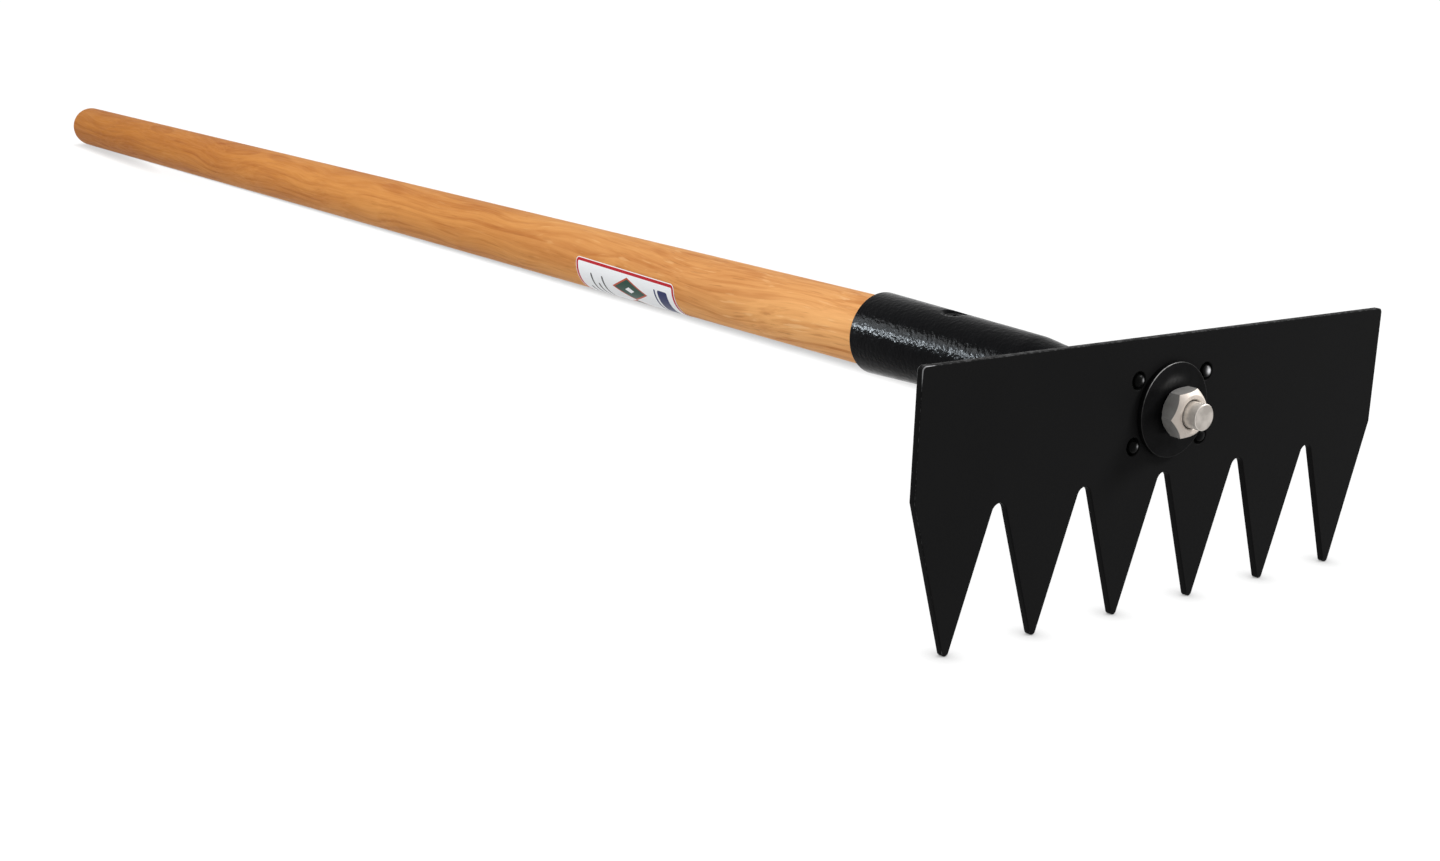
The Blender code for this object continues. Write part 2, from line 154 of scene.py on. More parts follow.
def makePiece(name, points, faces, material, node, sharp, wearAndSheen=None, uv=None, fill=False):
    # points are millimetres in the rake's frame. wearAndSheen is 0 to 1 at each point, for real wear and
    # painted highlights, and below 0 it is painted shade.
    # Edges that turn by more than sharp degrees stay sharp, and fill closes a plate's two flat faces.
    mesh = bpy.data.meshes.new(name)
    mesh.from_pydata(toWorld(points).reshape(-1, 3).tolist(), [], faces.tolist())
    if wearAndSheen is not None:
        wearAndSheenValues = np.ravel(wearAndSheen).astype(np.float32)
        mesh.attributes.new("wearAndSheen", "FLOAT", "POINT").data.foreach_set("value", wearAndSheenValues)
    if uv is not None:
        layer = mesh.uv_layers.new(name="print")
        corners = np.empty(len(mesh.loops), np.int32)
        mesh.loops.foreach_get("vertex_index", corners)
        layer.data.foreach_set("uv", uv.reshape(-1, 2)[corners].ravel())
    bm = bmesh.new()
    bm.from_mesh(mesh)
    if fill:
        for side in (min, max):
            fillFlatEnd(bm, side)
    bmesh.ops.remove_doubles(bm, verts=bm.verts, dist=meshTolerances["sameCorner"])
    if fill:
        bmesh.ops.recalc_face_normals(bm, faces=bm.faces)
    bm.to_mesh(mesh)
    bm.free()
    mesh.shade_smooth()
    mesh.set_sharp_from_angle(angle=math.radians(sharp))
    mesh.materials.append(material)
    piece = addObject(name, mesh)
    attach(piece, "root")
    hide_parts(node)
    return piece


def fillFlatEnd(bm, side):
    # fills the open loops that lie furthest to one side along the rake's axis, holes left open
    back = worldToRake.to_3x3()[1]
    ends = [edge for edge in bm.edges if edge.is_boundary]
    place = {edge: (edge.verts[0].co + edge.verts[1].co).dot(back) / 2 for edge in ends}
    level = side(place.values())
    flat = [edge for edge in ends if abs(place[edge] - level) < meshTolerances["sameLevel"]]
    bmesh.ops.triangle_fill(bm, edges=flat, use_beauty=True)


# Nodes of the materials

def setInput(tree, socket, value):
    if isinstance(value, bpy.types.NodeSocket):
        tree.links.new(value, socket)
    else:
        socket.default_value = value


def addNode(tree, kind, inputs, **settings):
    node = tree.nodes.new(kind)
    for key, value in settings.items():
        setattr(node, key, value)
    for key, value in inputs.items():
        setInput(tree, node.inputs[key], value)
    return node


def calc(tree, operation, *values):
    return addNode(tree, "ShaderNodeMath", dict(enumerate(values)), operation=operation).outputs[0]


def product(tree, first, *others):
    for value in others:
        first = calc(tree, "MULTIPLY", first, value)
    return first


def spread(tree, value, low, high, toLow=0.0, toHigh=1.0, kind="SMOOTHSTEP"):
    # maps low..high to toLow..toHigh, and holds the ends
    inputs = {"Value": value, "From Min": low, "From Max": high, "To Min": toLow, "To Max": toHigh}
    return addNode(tree, "ShaderNodeMapRange", inputs, interpolation_type=kind).outputs[0]


def mixColour(tree, share, first, second):
    node = addNode(tree, "ShaderNodeMix", {}, data_type="RGBA")
    setInput(tree, node.inputs["Factor"], share)
    for socket, value in zip((node.inputs[6], node.inputs[7]), (first, second)):
        setInput(tree, socket, (*value, 1) if isinstance(value, tuple) else value)
    return node.outputs[2]


def noise(tree, place, scale, detail, roughness=0.5, distortion=0.0):
    return addNode(tree, "ShaderNodeTexNoise", {
        "Vector": place, "Scale": scale, "Detail": detail, "Roughness": roughness, "Distortion": distortion,
    }).outputs["Fac"]


def vectorMath(tree, operation, *values):
    return addNode(tree, "ShaderNodeVectorMath", dict(enumerate(values)), operation=operation).outputs[0]


def stretched(tree, place, x, y, z):
    return vectorMath(tree, "MULTIPLY", place, (x, y, z))


def objectPlace(tree):
    return tree.nodes.new("ShaderNodeTexCoord").outputs["Object"]


def placeAlong(tree, place):
    return addNode(tree, "ShaderNodeSeparateXYZ", {0: place}).outputs["Y"]


def rakePlace(tree):
    # the point in the rake's own frame, in metres
    return addNode(tree, "ShaderNodeMapping", {
        "Vector": objectPlace(tree), "Location": worldToRake.to_translation(),
        "Rotation": worldToRake.to_euler(),
    }, vector_type="POINT").outputs[0]


def attribute(tree, name):
    return addNode(tree, "ShaderNodeAttribute", {}, attribute_name=name).outputs["Fac"]


def bump(tree, height, distance, strength=1.0, under=None):
    inputs = {"Height": height, "Distance": distance, "Strength": strength}
    if under is not None:
        inputs["Normal"] = under
    return addNode(tree, "ShaderNodeBump", inputs).outputs[0]


def newMaterial(name):
    material = bpy.data.materials.new(name)
    material.use_nodes = True
    return material, material.node_tree, material.node_tree.nodes["Principled BSDF"].inputs


def finishShader(tree, sockets, values):
    for key, value in values.items():
        setInput(tree, sockets[key], value)


# Black paint over steel, thin and rubbed off along the edges

def paintedSteel(name, look):
    material, tree, shader = newMaterial(name)
    place = rakePlace(tree)
    cloud = noise(tree, place, look["cloudScale"], 3)
    peel = noise(tree, place, look["peelScale"], look["peelDetail"])
    grit = noise(tree, place, look["gritScale"], 2)
    chips = noise(tree, place, look["chipScale"], 4, 0.7)
    # the wear, and the sheen painted along the blade's top edge, show as bare steel, broken up by chips
    chipped = spread(tree, chips, *look["chipEdges"], look["chipFloor"], 1.0)
    chippedMarks = product(tree, attribute(tree, "wearAndSheen"), chipped)
    bare = spread(tree, chippedMarks, look["bareFrom"], look["bareTo"])
    paint = mixColour(tree, cloud, look["colour"], tuple(c * look["cloudDepth"] for c in look["colour"]))
    swing = look["roughnessSwing"]
    rough = spread(tree, cloud, *look["cloudEdges"], look["roughness"] - swing, look["roughness"] + swing)
    skin = bump(tree, peel, look["peelDepth"])
    finishShader(tree, shader, {
        "Base Color": mixColour(tree, bare, paint, look["bareColour"]),
        "Metallic": product(tree, bare, look["bareMetallic"]),
        "Roughness": calc(tree, "ADD", rough, product(tree, grit, look["gritRoughness"])),
        "Specular IOR Level": look["specular"],
        "Normal": bump(tree, grit, look["gritDepth"], look["gritStrength"], skin),
    })
    return material


# scales are noise cells in a metre, depths are metres, and edges are the noise values between which a
# pattern goes from nothing to full
bladePaintLook = {
    "colour": (0.0075, 0.0075, 0.0076), "cloudDepth": 1.3, "cloudScale": 14, "cloudEdges": (0.3, 0.7),
    "roughness": 0.42, "roughnessSwing": 0.055, "specular": 0.012,
    "peelScale": 420, "peelDetail": 2, "peelDepth": 0.00004,
    "gritScale": 2600, "gritDepth": 0.00002, "gritStrength": 0.5, "gritRoughness": 0.05,
    "chipScale": 420, "chipEdges": (0.38, 0.6), "chipFloor": 0.75, "bareFrom": 0.30, "bareTo": 0.55,
    "bareColour": (0.25, 0.25, 0.255), "bareMetallic": 0.3,
}
socketPaintLook = dict(bladePaintLook, colour=(0.0032, 0.0033, 0.0038), roughness=0.16, roughnessSwing=0.06,
                       cloudScale=170, specular=0.028, peelScale=470, peelDetail=1.5, peelDepth=0.00027)
neckPaintLook = dict(bladePaintLook, colour=(0.0042, 0.0042, 0.0044), roughness=0.34, specular=0.12,
                     peelScale=300, peelDepth=0.0001)
bladePaint = paintedSteel("bladePaint", bladePaintLook)
socketPaint = paintedSteel("socketPaint", socketPaintLook)
neckPaint = paintedSteel("neckPaint", neckPaintLook)


# Plated and blackened steel of the fasteners

def fastenerSteel(name, look):
    material, tree, shader = newMaterial(name)
    place = rakePlace(tree)
    # turning marks: rings round the rake's axis, from the distance to it, broken up by a little noise
    across = stretched(tree, place, 1, look["alongShare"], 1)
    distance = addNode(tree, "ShaderNodeVectorMath", {0: across}, operation="LENGTH").outputs["Value"]
    rings = addNode(tree, "ShaderNodeCombineXYZ", {0: distance}).outputs[0]
    marks = noise(tree, rings, look["markScale"], 3, 0.6)
    cloud = noise(tree, place, look["cloudScale"], 4)
    tint = mixColour(tree, spread(tree, cloud, *look["cloudEdges"]), look["colour"], look["tint"])
    # the attribute brightens the steel for real wear, and for painted highlights on the nut's front, the
    # washer's rim and face and the pins' noses
    wearAndSheenLevel = attribute(tree, "wearAndSheen")
    patches = noise(tree, place, look["patchScale"], 3)
    bright = product(tree, wearAndSheenLevel, spread(tree, patches, *look["patchEdges"], look["patchFloor"], 1.0))
    steel = mixColour(tree, bright, tint, look["wearAndSheenColour"])
    paintedShade = spread(tree, wearAndSheenLevel, -1, 0, 1.0, 0.0, "LINEAR")       # below 0 the attribute is painted shade
    mottle = calc(tree, "ADD", marks, cloud)
    finishShader(tree, shader, {
        "Base Color": mixColour(tree, paintedShade, steel, look["paintedShade"]),
        "Metallic": spread(tree, bright, 0, 1, look["metallic"], look["wearAndSheenMetallic"], "LINEAR"),
        "Roughness": spread(tree, mottle, *look["mottleEdges"], look["smooth"], look["rough"]),
        "Specular IOR Level": look["specular"],
        "Normal": bump(tree, marks, look["markDepth"]),
    })
    return material


studSteelLook = {
    "colour": (0.50, 0.46, 0.42), "tint": (0.35, 0.32, 0.29), "wearAndSheenColour": (0.84, 0.78, 0.71),
    "paintedShade": (0.09, 0.06, 0.042), "metallic": 0.7, "wearAndSheenMetallic": 0.5, "smooth": 0.28, "rough": 0.44,
    "specular": 0.5, "markScale": 1500, "markDepth": 0.000008, "alongShare": 0.04,
    "cloudScale": 160, "cloudEdges": (0.35, 0.65), "patchScale": 380, "patchEdges": (0.35, 0.6),
    "patchFloor": 0.75, "mottleEdges": (0.6, 1.4),
}
nutSteelLook = dict(
    studSteelLook, colour=(0.42, 0.41, 0.395), tint=(0.34, 0.33, 0.315), wearAndSheenColour=(0.60, 0.535, 0.475),
    metallic=0.80, wearAndSheenMetallic=0.34, smooth=0.50, rough=0.62, patchFloor=0.85,
)
darkSteelLook = dict(
    studSteelLook, colour=(0.0035, 0.0035, 0.0036), tint=(0.0055, 0.0055, 0.0058),
    wearAndSheenColour=(0.36, 0.355, 0.35), paintedShade=(0.002, 0.002, 0.002), metallic=0.05, wearAndSheenMetallic=1.0,
    smooth=0.30, specular=0.02, markScale=900, markDepth=0.00002, alongShare=0.1, patchFloor=0.6,
)
pinSteelLook = dict(
    darkSteelLook, colour=(0.0018, 0.0018, 0.0018), tint=(0.003, 0.003, 0.003),
    wearAndSheenColour=(0.62, 0.62, 0.63), smooth=0.2, specular=0.03, patchFloor=0.8,
)
studSteel = fastenerSteel("studSteel", studSteelLook)
nutSteel = fastenerSteel("nutSteel", nutSteelLook)
darkSteel = fastenerSteel("darkSteel", darkSteelLook)
pinSteel = fastenerSteel("pinSteel", pinSteelLook)


# The head: blade, flange and what clamps them

headSizes = {
    "studRadius": 6.1, "seatGap": 0.3, "pinRadius": 3.0, "bladePinGap": 1.25,
    "pinSpacingX": 45.0, "pinSpacingZ": 30.0, "pinProud": 1.6, "pinNose": 1.8,
}
bladeSizes = {
    "width": 304.8, "height": 127.0, "thickness": 3.4, "cornerRadius": 2.2, "edgeRounding": 0.45,
    "topAboveAxis": 34.0, "shoulderAboveTips": 70.0, "shoulderRadius": 1.5, "teeth": 6, "toothPitch": 51.8,
    "toothDepth": 63.5, "tipRadius": 2.0, "rootRadius": 4.2, "tipSteps": 10, "rootSteps": 16,
}
flangeSizes = {
    "width": 62.0, "height": 45.0, "thickness": 6.35, "cornerRadius": 6.0, "edgeRounding": 0.8, "rub": 0.3,
}
plateSteps = {"longestSide": 3.0, "faceHold": 0.35, "edgeSteps": 4, "studHoleSteps": 64, "pinHoleSteps": 40}
pinPlaces = [
    (sideways * headSizes["pinSpacingX"] / 2, upwards * headSizes["pinSpacingZ"] / 2)
    for upwards in (1, -1) for sideways in (-1, 1)
]


def flankLean(run, rise, radiusSum):
    # a line that touches both arcs leans by atan(run / rise) less asin(sum of their radii / their distance)
    return math.atan2(run, rise) - math.asin(radiusSum / math.hypot(run, rise))


def bladeOutline():
    # tip arcs and root arcs joined by the straight flanks that touch both, then the shoulders and the
    # round top corners
    s = bladeSizes
    rise = s["toothDepth"] - s["tipRadius"] - s["rootRadius"]
    run = s["toothPitch"] / 2
    flank = flankLean(run, rise, s["tipRadius"] + s["rootRadius"])
    shoulderRise = s["shoulderAboveTips"] - s["tipRadius"]
    shoulderRun = (s["width"] - (s["teeth"] - 1) * s["toothPitch"]) / 2
    outer = flankLean(shoulderRun, shoulderRise, s["tipRadius"])
    stretches = []
    for i in range(s["teeth"]):
        x = (i - (s["teeth"] - 1) / 2) * s["toothPitch"]
        start = math.pi + (outer if i == 0 else flank)
        end = 2 * math.pi - (outer if i == s["teeth"] - 1 else flank)
        stretches.append(arcPoints((x, s["tipRadius"]), s["tipRadius"], start, end, s["tipSteps"]))
        if i < s["teeth"] - 1:
            root = (x + run, s["toothDepth"] - s["rootRadius"])
            stretches.append(arcPoints(root, s["rootRadius"], math.pi - flank, flank, s["rootSteps"]))
    side, top, low = s["width"] / 2, s["height"], s["shoulderAboveTips"]
    first, last = stretches[0][0], stretches[-1][-1]
    corners = [last, (side, low), (side, top), (-side, top), (-side, low), first]
    radii = [0, s["shoulderRadius"], s["cornerRadius"], s["cornerRadius"], s["shoulderRadius"], 0]
    stretches.append(filletedPath(corners, radii, 6)[1:-1])
    outline = np.concatenate(stretches)
    outline[:, 1] -= s["height"] - s["topAboveAxis"]
    return outline


def evenSteps(loop, step):
    # splits each side of a closed loop into equal parts no longer than step
    parts = []
    for start, end in zip(loop, np.roll(loop, -1, axis=0)):
        count = max(1, math.ceil(np.linalg.norm(end - start) / step))
        parts.append(start + (end - start) * np.arange(count)[:, None] / count)
    return np.concatenate(parts)


def inwardNormals(loop):
    # the mean of the left normals of the two sides at each point, lengthened so that both sides keep
    # their offset
    ahead = unit(np.roll(loop, -1, axis=0) - loop)
    back = np.roll(ahead, 1, axis=0)
    leftAhead = np.stack([-ahead[:, 1], ahead[:, 0]], axis=1)
    leftBack = np.stack([-back[:, 1], back[:, 0]], axis=1)
    mean = unit(leftAhead + leftBack)
    return mean / (mean * leftAhead).sum(axis=1, keepdims=True)


def platePoints(loop, front, back, rounding, hold):
    # the loop carried through the plate's edge: in from the front face, round a quarter circle, back
    # along the edge and round again. The rows next to the faces lie flat in them.
    turn = np.linspace(0, math.pi / 2, plateSteps["edgeSteps"] + 1)
    inset = rounding * (1 - np.sin(turn))
    depth = rounding * (1 - np.cos(turn))
    inset = np.concatenate([[rounding + hold], inset, inset[::-1], [rounding + hold]])
    place = np.concatenate([[front], front + depth, back - depth[::-1], [back]])
    flat = loop[None] + inwardNormals(loop)[None] * inset[:, None, None]
    points = np.empty((len(inset), len(loop), 3))
    points[..., 0], points[..., 1], points[..., 2] = flat[..., 0], place[:, None], flat[..., 1]
    rub = np.sin(2 * turn).clip(0)
    rub = np.concatenate([[0], rub, rub[::-1], [0]])
    return points, np.broadcast_to(rub[:, None], points.shape[:2])


def makePlate(name, outline, holes, front, sizes, material, node, wearAndSheenAt):
    # the outline runs anticlockwise seen from the front and the holes clockwise, so that the metal is on
    # their left
    allPoints, allFaces, allWearAndSheen, start = [], [], [], 0
    back = front + sizes["thickness"]
    for loop in [evenSteps(outline, plateSteps["longestSide"]), *holes]:
        points, edge = platePoints(loop, front, back, sizes["edgeRounding"], plateSteps["faceHold"])
        allFaces.append(gridFaces(*points.shape[:2], wrapColumns=True) + start)
        allPoints.append(points.reshape(-1, 3))
        allWearAndSheen.append(wearAndSheenAt(points, edge).ravel())
        start += points.shape[0] * points.shape[1]
    makePiece(name, np.concatenate(allPoints), np.concatenate(allFaces), material, node,
              sharp=50, wearAndSheen=np.concatenate(allWearAndSheen), fill=True)


def headHoles(pinGap):
    # circles that run clockwise round the stud and the four pins, wider than these by their gaps
    def hole(centre, radius, steps):
        return arcPoints(centre, radius, 2 * math.pi, 0, steps)[:-1]

    stud = hole((0, 0), headSizes["studRadius"] + headSizes["seatGap"], plateSteps["studHoleSteps"])
    pins = [hole(place, headSizes["pinRadius"] + pinGap, plateSteps["pinHoleSteps"]) for place in pinPlaces]
    return [stud, *pins]


# how hard each part of the blade's edge is rubbed, with the painted sheen along its top edge, and how far
# that reaches in mm
bladeRubAndSheen = {
    "everywhere": 0.26, "topSheen": 0.365, "corner": 0.8, "cornerReach": 5.0, "leftSide": 0.14,
    "leftReach": 22.0, "tips": 0.16, "tipReach": 4.0, "faceMargin": 0.01,
}


def bladeWearAndSheen(points, rounding):
    # a painted sheen, even along the whole top edge, and a rub along the rounded edges that is bright only at
    # the top left corner, with thin lines down the left side and at the tips. rounding is 1 in the middle of
    # each rounded edge and 0 on the flats, and the corner and the left side fade by exp(-(distance /
    # reach)^2).
    rub = bladeRubAndSheen
    x, z = points[..., 0] + bladeSizes["width"] / 2, points[..., 2] - bladeSizes["topAboveAxis"]
    corner = rub["corner"] * np.exp(-(x ** 2 + z ** 2) / rub["cornerReach"] ** 2)
    left = rub["leftSide"] * np.exp(-(x / rub["leftReach"]) ** 2)
    tips = rub["tips"] * (z < rub["tipReach"] - bladeSizes["height"])
    onEdge = (points[..., 1] > rub["faceMargin"]) & (points[..., 1] < bladeBack - rub["faceMargin"])
    # painted sheen: the whole top edge is lightened evenly, as the light from above shows on it
    top = rub["topSheen"] * onEdge * (z > -bladeSizes["cornerRadius"] / 2)
    return np.maximum(rounding * (rub["everywhere"] + left + tips + corner), top).clip(0, 1)


def flangeWear(points, rounding):
    return flangeSizes["rub"] * rounding


bladeBack = bladeSizes["thickness"]
flangeFront = bladeBack + headSizes["seatGap"]
flangeBack = flangeFront + flangeSizes["thickness"]
makePlate("rakeBlade", bladeOutline(), headHoles(headSizes["bladePinGap"]), 0.0, bladeSizes, bladePaint,
          "rake_blade", bladeWearAndSheen)
flangeHalf = (flangeSizes["width"] / 2, flangeSizes["height"] / 2)
flangeCorners = np.array([(-1, -1), (1, -1), (1, 1), (-1, 1)]) * flangeHalf
flangeOutline = filletedPath(flangeCorners, [flangeSizes["cornerRadius"]] * 4, 10, closed=True)
makePlate("mountingFlange", flangeOutline, headHoles(headSizes["seatGap"]), flangeFront, flangeSizes,
          neckPaint, "mounting_flange", flangeWear)
print("head: blade and flange made")


def makeTurned(name, profile, columns, material, node, sharp, wearAndSheen=None):
    # a profile that starts and ends on the rake's axis, turned round it. wearAndSheen holds one value for
    # each of its points, or one for them all.
    points = turnedPoints(profile, columns)
    faces = gridFaces(*points.shape[:2], wrapColumns=True)
    if wearAndSheen is not None:
        wearAndSheen = np.broadcast_to(np.reshape(wearAndSheen, (-1, 1)), points.shape[:2])
    makePiece(name, points, faces, material, node, sharp, wearAndSheen=wearAndSheen)


washerSizes = {
    "outerRadius": 22.0, "innerRadius": 6.7, "thickness": 2.5, "edgeRounding": 0.55, "boreRounding": 0.2,
    "columns": 160, "faceRows": 12, "rowsFromBore": 0.5, "rowsFromRim": 1.0, "rimShare": 0.6,
    # the rim's rub everywhere, then the painted highlights on the rim at its upper left and upper right:
    # strength, angle and width in degrees
    "rimRub": 0.07, "rimHighlights": ((0.95, 125, 28), (0.25, 30, 25)),
    # the painted sheen above the nut: strength, angle and width in degrees, and radius and width in mm
    "paintedSheen": (0.12, 102, 24, 14.2, 1.8), "paintedSheenDepth": 0.1,
}
nutSizes = {
    "acrossFlats": 20.6, "height": 10.0, "turn": 9.0, "faceRadius": 8.9, "chamferAngle": 38.0,
    "boreChamfer": 0.9, "edgeRounding": 0.22, "cornerRounding": 0.35, "faceRounding": 0.12,
    "columnStep": 0.55, "shadeShare": 0.7, "frontMargin": 0.01,
}
studSizes = {
    "beyondNut": 6.5, "chamfer": 0.4, "depthInStem": 25.0, "rimRounding": 0.12, "sideRounding": 0.2,
    "columns": 96, "brightShare": 0.6,
}
pinSizes = {
    "columns": 48, "noseRows": 12, "glintLength": 1.4, "glintHeight": 0.4,
    # the painted glint on each nose, the top pair first and left before right: its size, its strength and
    # how far right of the middle it lies
    "paintedGlints": ((0.7, 0.7, 1.2), (1.2, 1.5, 0.3), (0.7, 0.7, 1.2), (0.7, 0.0, 1.2)),
}
washerBack = -headSizes["seatGap"]
washerFront = washerBack - washerSizes["thickness"]
nutBack = washerFront - headSizes["seatGap"]
nutFront = nutBack - nutSizes["height"]
studFront = nutFront - studSizes["beyondNut"]


def makeWasher():
    # a ring with rounded edges, and extra rows on its front face for the painted sheen to lie on. The rim's
    # painted highlights fade by exp(-((angle - middle) / width)^2), and the painted sheen by the same in its
    # angle and its radius.
    s = washerSizes
    inner, outer, edge = s["innerRadius"], s["outerRadius"], s["edgeRounding"]
    corners = [(washerFront, inner), (washerFront, outer), (washerBack, outer), (washerBack, inner)]
    profile = filletedPath(corners, [s["boreRounding"], edge, edge, s["boreRounding"]], 5, closed=True)
    faceRadii = np.linspace(inner + s["rowsFromBore"], outer - s["rowsFromRim"], s["faceRows"])
    faceRows = [(washerFront, radius) for radius in faceRadii]
    split = int(np.flatnonzero(profile[:, 1] > outer - s["rowsFromRim"])[0])
    profile = np.concatenate([profile[:split], faceRows, profile[split:]])
    points = turnedPoints(profile, s["columns"])
    angle = np.degrees(ringAngles(s["columns"]))[None]
    place, radius = profile[:, :1], profile[:, 1:]
    rim = (radius > outer - edge * s["rimShare"]) & (place < washerFront + edge * s["rimShare"])
    # painted highlights on the rim at its upper left and upper right, where its rounded edge catches the
    # light
    paintedGlints = sum(
        strength * np.exp(-((angle - middle) / width) ** 2) for strength, middle, width in s["rimHighlights"]
    )
    # painted sheen: a soft highlight on the face above the nut
    strength, middle, width, ring, ringWidth = s["paintedSheen"]
    paintedSheen = strength * np.exp(-((angle - middle) / width) ** 2 - ((radius - ring) / ringWidth) ** 2)
    wearAndSheen = rim * (s["rimRub"] + paintedGlints) + paintedSheen * (place < washerFront + s["paintedSheenDepth"])
    faces = gridFaces(*points.shape[:2], wrapRows=True, wrapColumns=True)
    makePiece("headWasher", points, faces, darkSteel, "head_washer", wearAndSheen=wearAndSheen, sharp=60)


def makeNut():
    # each column is a cut through the axis at one angle: bore, bore chamfer, flat ring, cone, flat, cone
    # and back. The cone meets the hexagon at a depth of (distance from the axis - face radius) x
    # tan(chamfer angle).
    s = nutSizes
    corner = s["acrossFlats"] / 2 / math.cos(math.pi / 6)
    turn = math.radians(s["turn"])
    hexagon = arcPoints((0, 0), corner, turn, turn + math.pi * 5 / 3, 5)
    outline = evenSteps(filletedPath(hexagon, [s["cornerRounding"]] * 6, 6, closed=True), s["columnStep"])
    reach = np.linalg.norm(outline, axis=1)
    drop = (reach - s["faceRadius"]) * math.tan(math.radians(s["chamferAngle"]))
    bore = headSizes["studRadius"] + headSizes["seatGap"]
    even = np.ones_like(reach)
    corners = np.array([
        (even * (nutBack - s["boreChamfer"]), even * bore),
        (even * (nutFront + s["boreChamfer"]), even * bore),
        (even * nutFront, even * (bore + s["boreChamfer"])),
        (even * nutFront, even * s["faceRadius"]),
        (nutFront + drop, reach),
        (nutBack - drop, reach),
        (even * nutBack, even * s["faceRadius"]),
        (even * nutBack, even * (bore + s["boreChamfer"])),
    ]).transpose(0, 2, 1)
    face, edge = s["faceRounding"], s["edgeRounding"]
    rows = filletedPath(corners, [0, 0, face, face, edge, edge, face, face], 4, closed=True)
    direction = outline / reach[:, None]
    points = np.empty((*rows.shape[:2], 3))
    points[..., 0] = rows[..., 1] * direction[:, 0]
    points[..., 1] = rows[..., 0]
    points[..., 2] = rows[..., 1] * direction[:, 1]
    faces = gridFaces(*points.shape[:2], wrapRows=True, wrapColumns=True)
    # painted light: the front and its cone are painted brighter than the flats, as lit faces against shaded
    # ones, and the bore is painted dark as shade in the gap round the stud
    wearAndSheen = 1.0 * (rows[..., 0] < nutFront + drop + s["frontMargin"])
    wearAndSheen[rows[..., 1] < bore + s["shadeShare"] * s["boreChamfer"]] = -1.0
    makePiece("hexNut", points, faces, nutSteel, "hex_nut", wearAndSheen=wearAndSheen, sharp=40)


def makeStud():
    # a round bar with chamfered ends, as the half section that is turned round the axis
    s = studSizes
    chamfer, radius = s["chamfer"], headSizes["studRadius"]
    end = flangeBack + headSizes["seatGap"] + s["depthInStem"]
    corners = [
        (studFront, 0), (studFront, radius * 0.5), (studFront, radius - chamfer),
        (studFront + chamfer, radius), (end - chamfer, radius), (end, radius - chamfer), (end, 0),
    ]
    profile = filletedPath(corners, [0, 0, s["rimRounding"], s["sideRounding"], 0, 0, 0], 4)
    # its side and rim are brighter than its sawn end
    bright = 1.0 * (profile[:, 1] > radius - s["brightShare"] * chamfer)
    makeTurned("headStud", profile, s["columns"], studSteel, "head_stud",
               sharp=50, wearAndSheen=bright)


def makePins():
    # a round bar closed by half an ellipse: place = nose x (1 - sin), radius = pin radius x cos. A painted
    # glint on each nose fades by exp(-(distance / glint size)^2): the top right one is brightest, and the
    # lower right one has none.
    s = pinSizes
    turn = np.linspace(math.pi / 2, 0, s["noseRows"])[1:]
    front = -headSizes["pinProud"]
    nose = front + headSizes["pinNose"] * (1 - np.sin(turn))
    place = np.concatenate([[front], nose, [flangeBack, flangeBack]])
    radius = np.concatenate([[0], headSizes["pinRadius"] * np.cos(turn), [headSizes["pinRadius"], 0]])
    points = turnedPoints(np.stack([place, radius], axis=1), s["columns"])
    faces = gridFaces(*points.shape[:2], wrapColumns=True)
    for number, ((x, z), (size, strength, right)) in enumerate(zip(pinPlaces, s["paintedGlints"]), 1):
        offGlint = np.hypot(points[..., 0] - right, points[..., 2] - s["glintHeight"])
        # painted glint: the nose is lightened in a spot where the light glints on it
        wearAndSheen = strength * np.exp(-(offGlint / size) ** 2) * (points[..., 1] < front + s["glintLength"])
        makePiece(f"locatingPin{number}", points + np.array([x, 0, z]), faces, pinSteel,
                  f"locating_pin_{number}", wearAndSheen=wearAndSheen, sharp=60)


makeWasher()
makeNut()
makeStud()
makePins()
print("head: washer, nut, stud and pins made")


# Neck, welds and socket

neckSizes = {
    "stemRadius": 11.1, "bareLength": 33.7, "depthInNeck": 16.0, "edgeBreak": 0.6, "stemColumns": 96,
    "flangeWeldLeg": 5.0, "neckWeldLeg": 2.6, "ripples": 34, "rippleDepth": 0.28, "rippleLean": 0.35,
    "swells": ((0.04, 3, 1), (0.03, 5, 0)), "weldFullness": 1.25, "weldSteps": 8, "weldColumns": 288,
    "stemRub": 0.1, "weldRub": 0.15,
}
socketSizes = {
    "wall": 2.66, "neckLength": 6.0, "coneLength": 33.0, "taperLength": 114.0, "shoulderRadius": 18.5,
    "shoulderRounding": 30.0, "neckRounding": 15.0, "lipRounding": 0.7, "frontRounding": 0.8,
    "columns": 192, "lipRub": 0.45, "lipReach": 0.5, "holeRub": 0.35,
    # rings of the grid round the screw: the flat of its seat, the seat's wall, the dimple's rim, the whole
    "floorRing": 3, "wallRing": 5, "rimRing": 10, "patchRings": 26, "rimDrop": 0.09, "wallLean": 0.4,
    "seatDepth": 1.0,
}
handleSizes = {
    "length": 1371.6, "radius": 19.05, "buttDepth": 12.0, "noseChamfer": 1.5, "fromShoulder": 4.0,
    "columns": 144, "gripRows": 80, "buttRows": 24,
}
screwSizes = {
    "fromMouth": 55.5, "headRadius": 5.5, "headRim": 0.4, "headDepth": 3.4, "shankRadius": 2.7,
    "length": 29.0, "pointLength": 5.0, "sink": 1.6, "slotWidth": 1.3, "slotSpan": 5.6, "slotDepth": 1.3,
    "slotEase": 0.12, "slotWall": 0.25, "slotEnd": 0.6, "turn": 30.0, "dome": 0.12, "faceBreak": 0.25,
    "breakDrop": 0.2, "faceRows": 34, "columns": 96, "rimRub": 0.35, "rubRows": 4,
}
stemFront = flangeBack + headSizes["seatGap"]
neckEnd = stemFront + neckSizes["bareLength"]
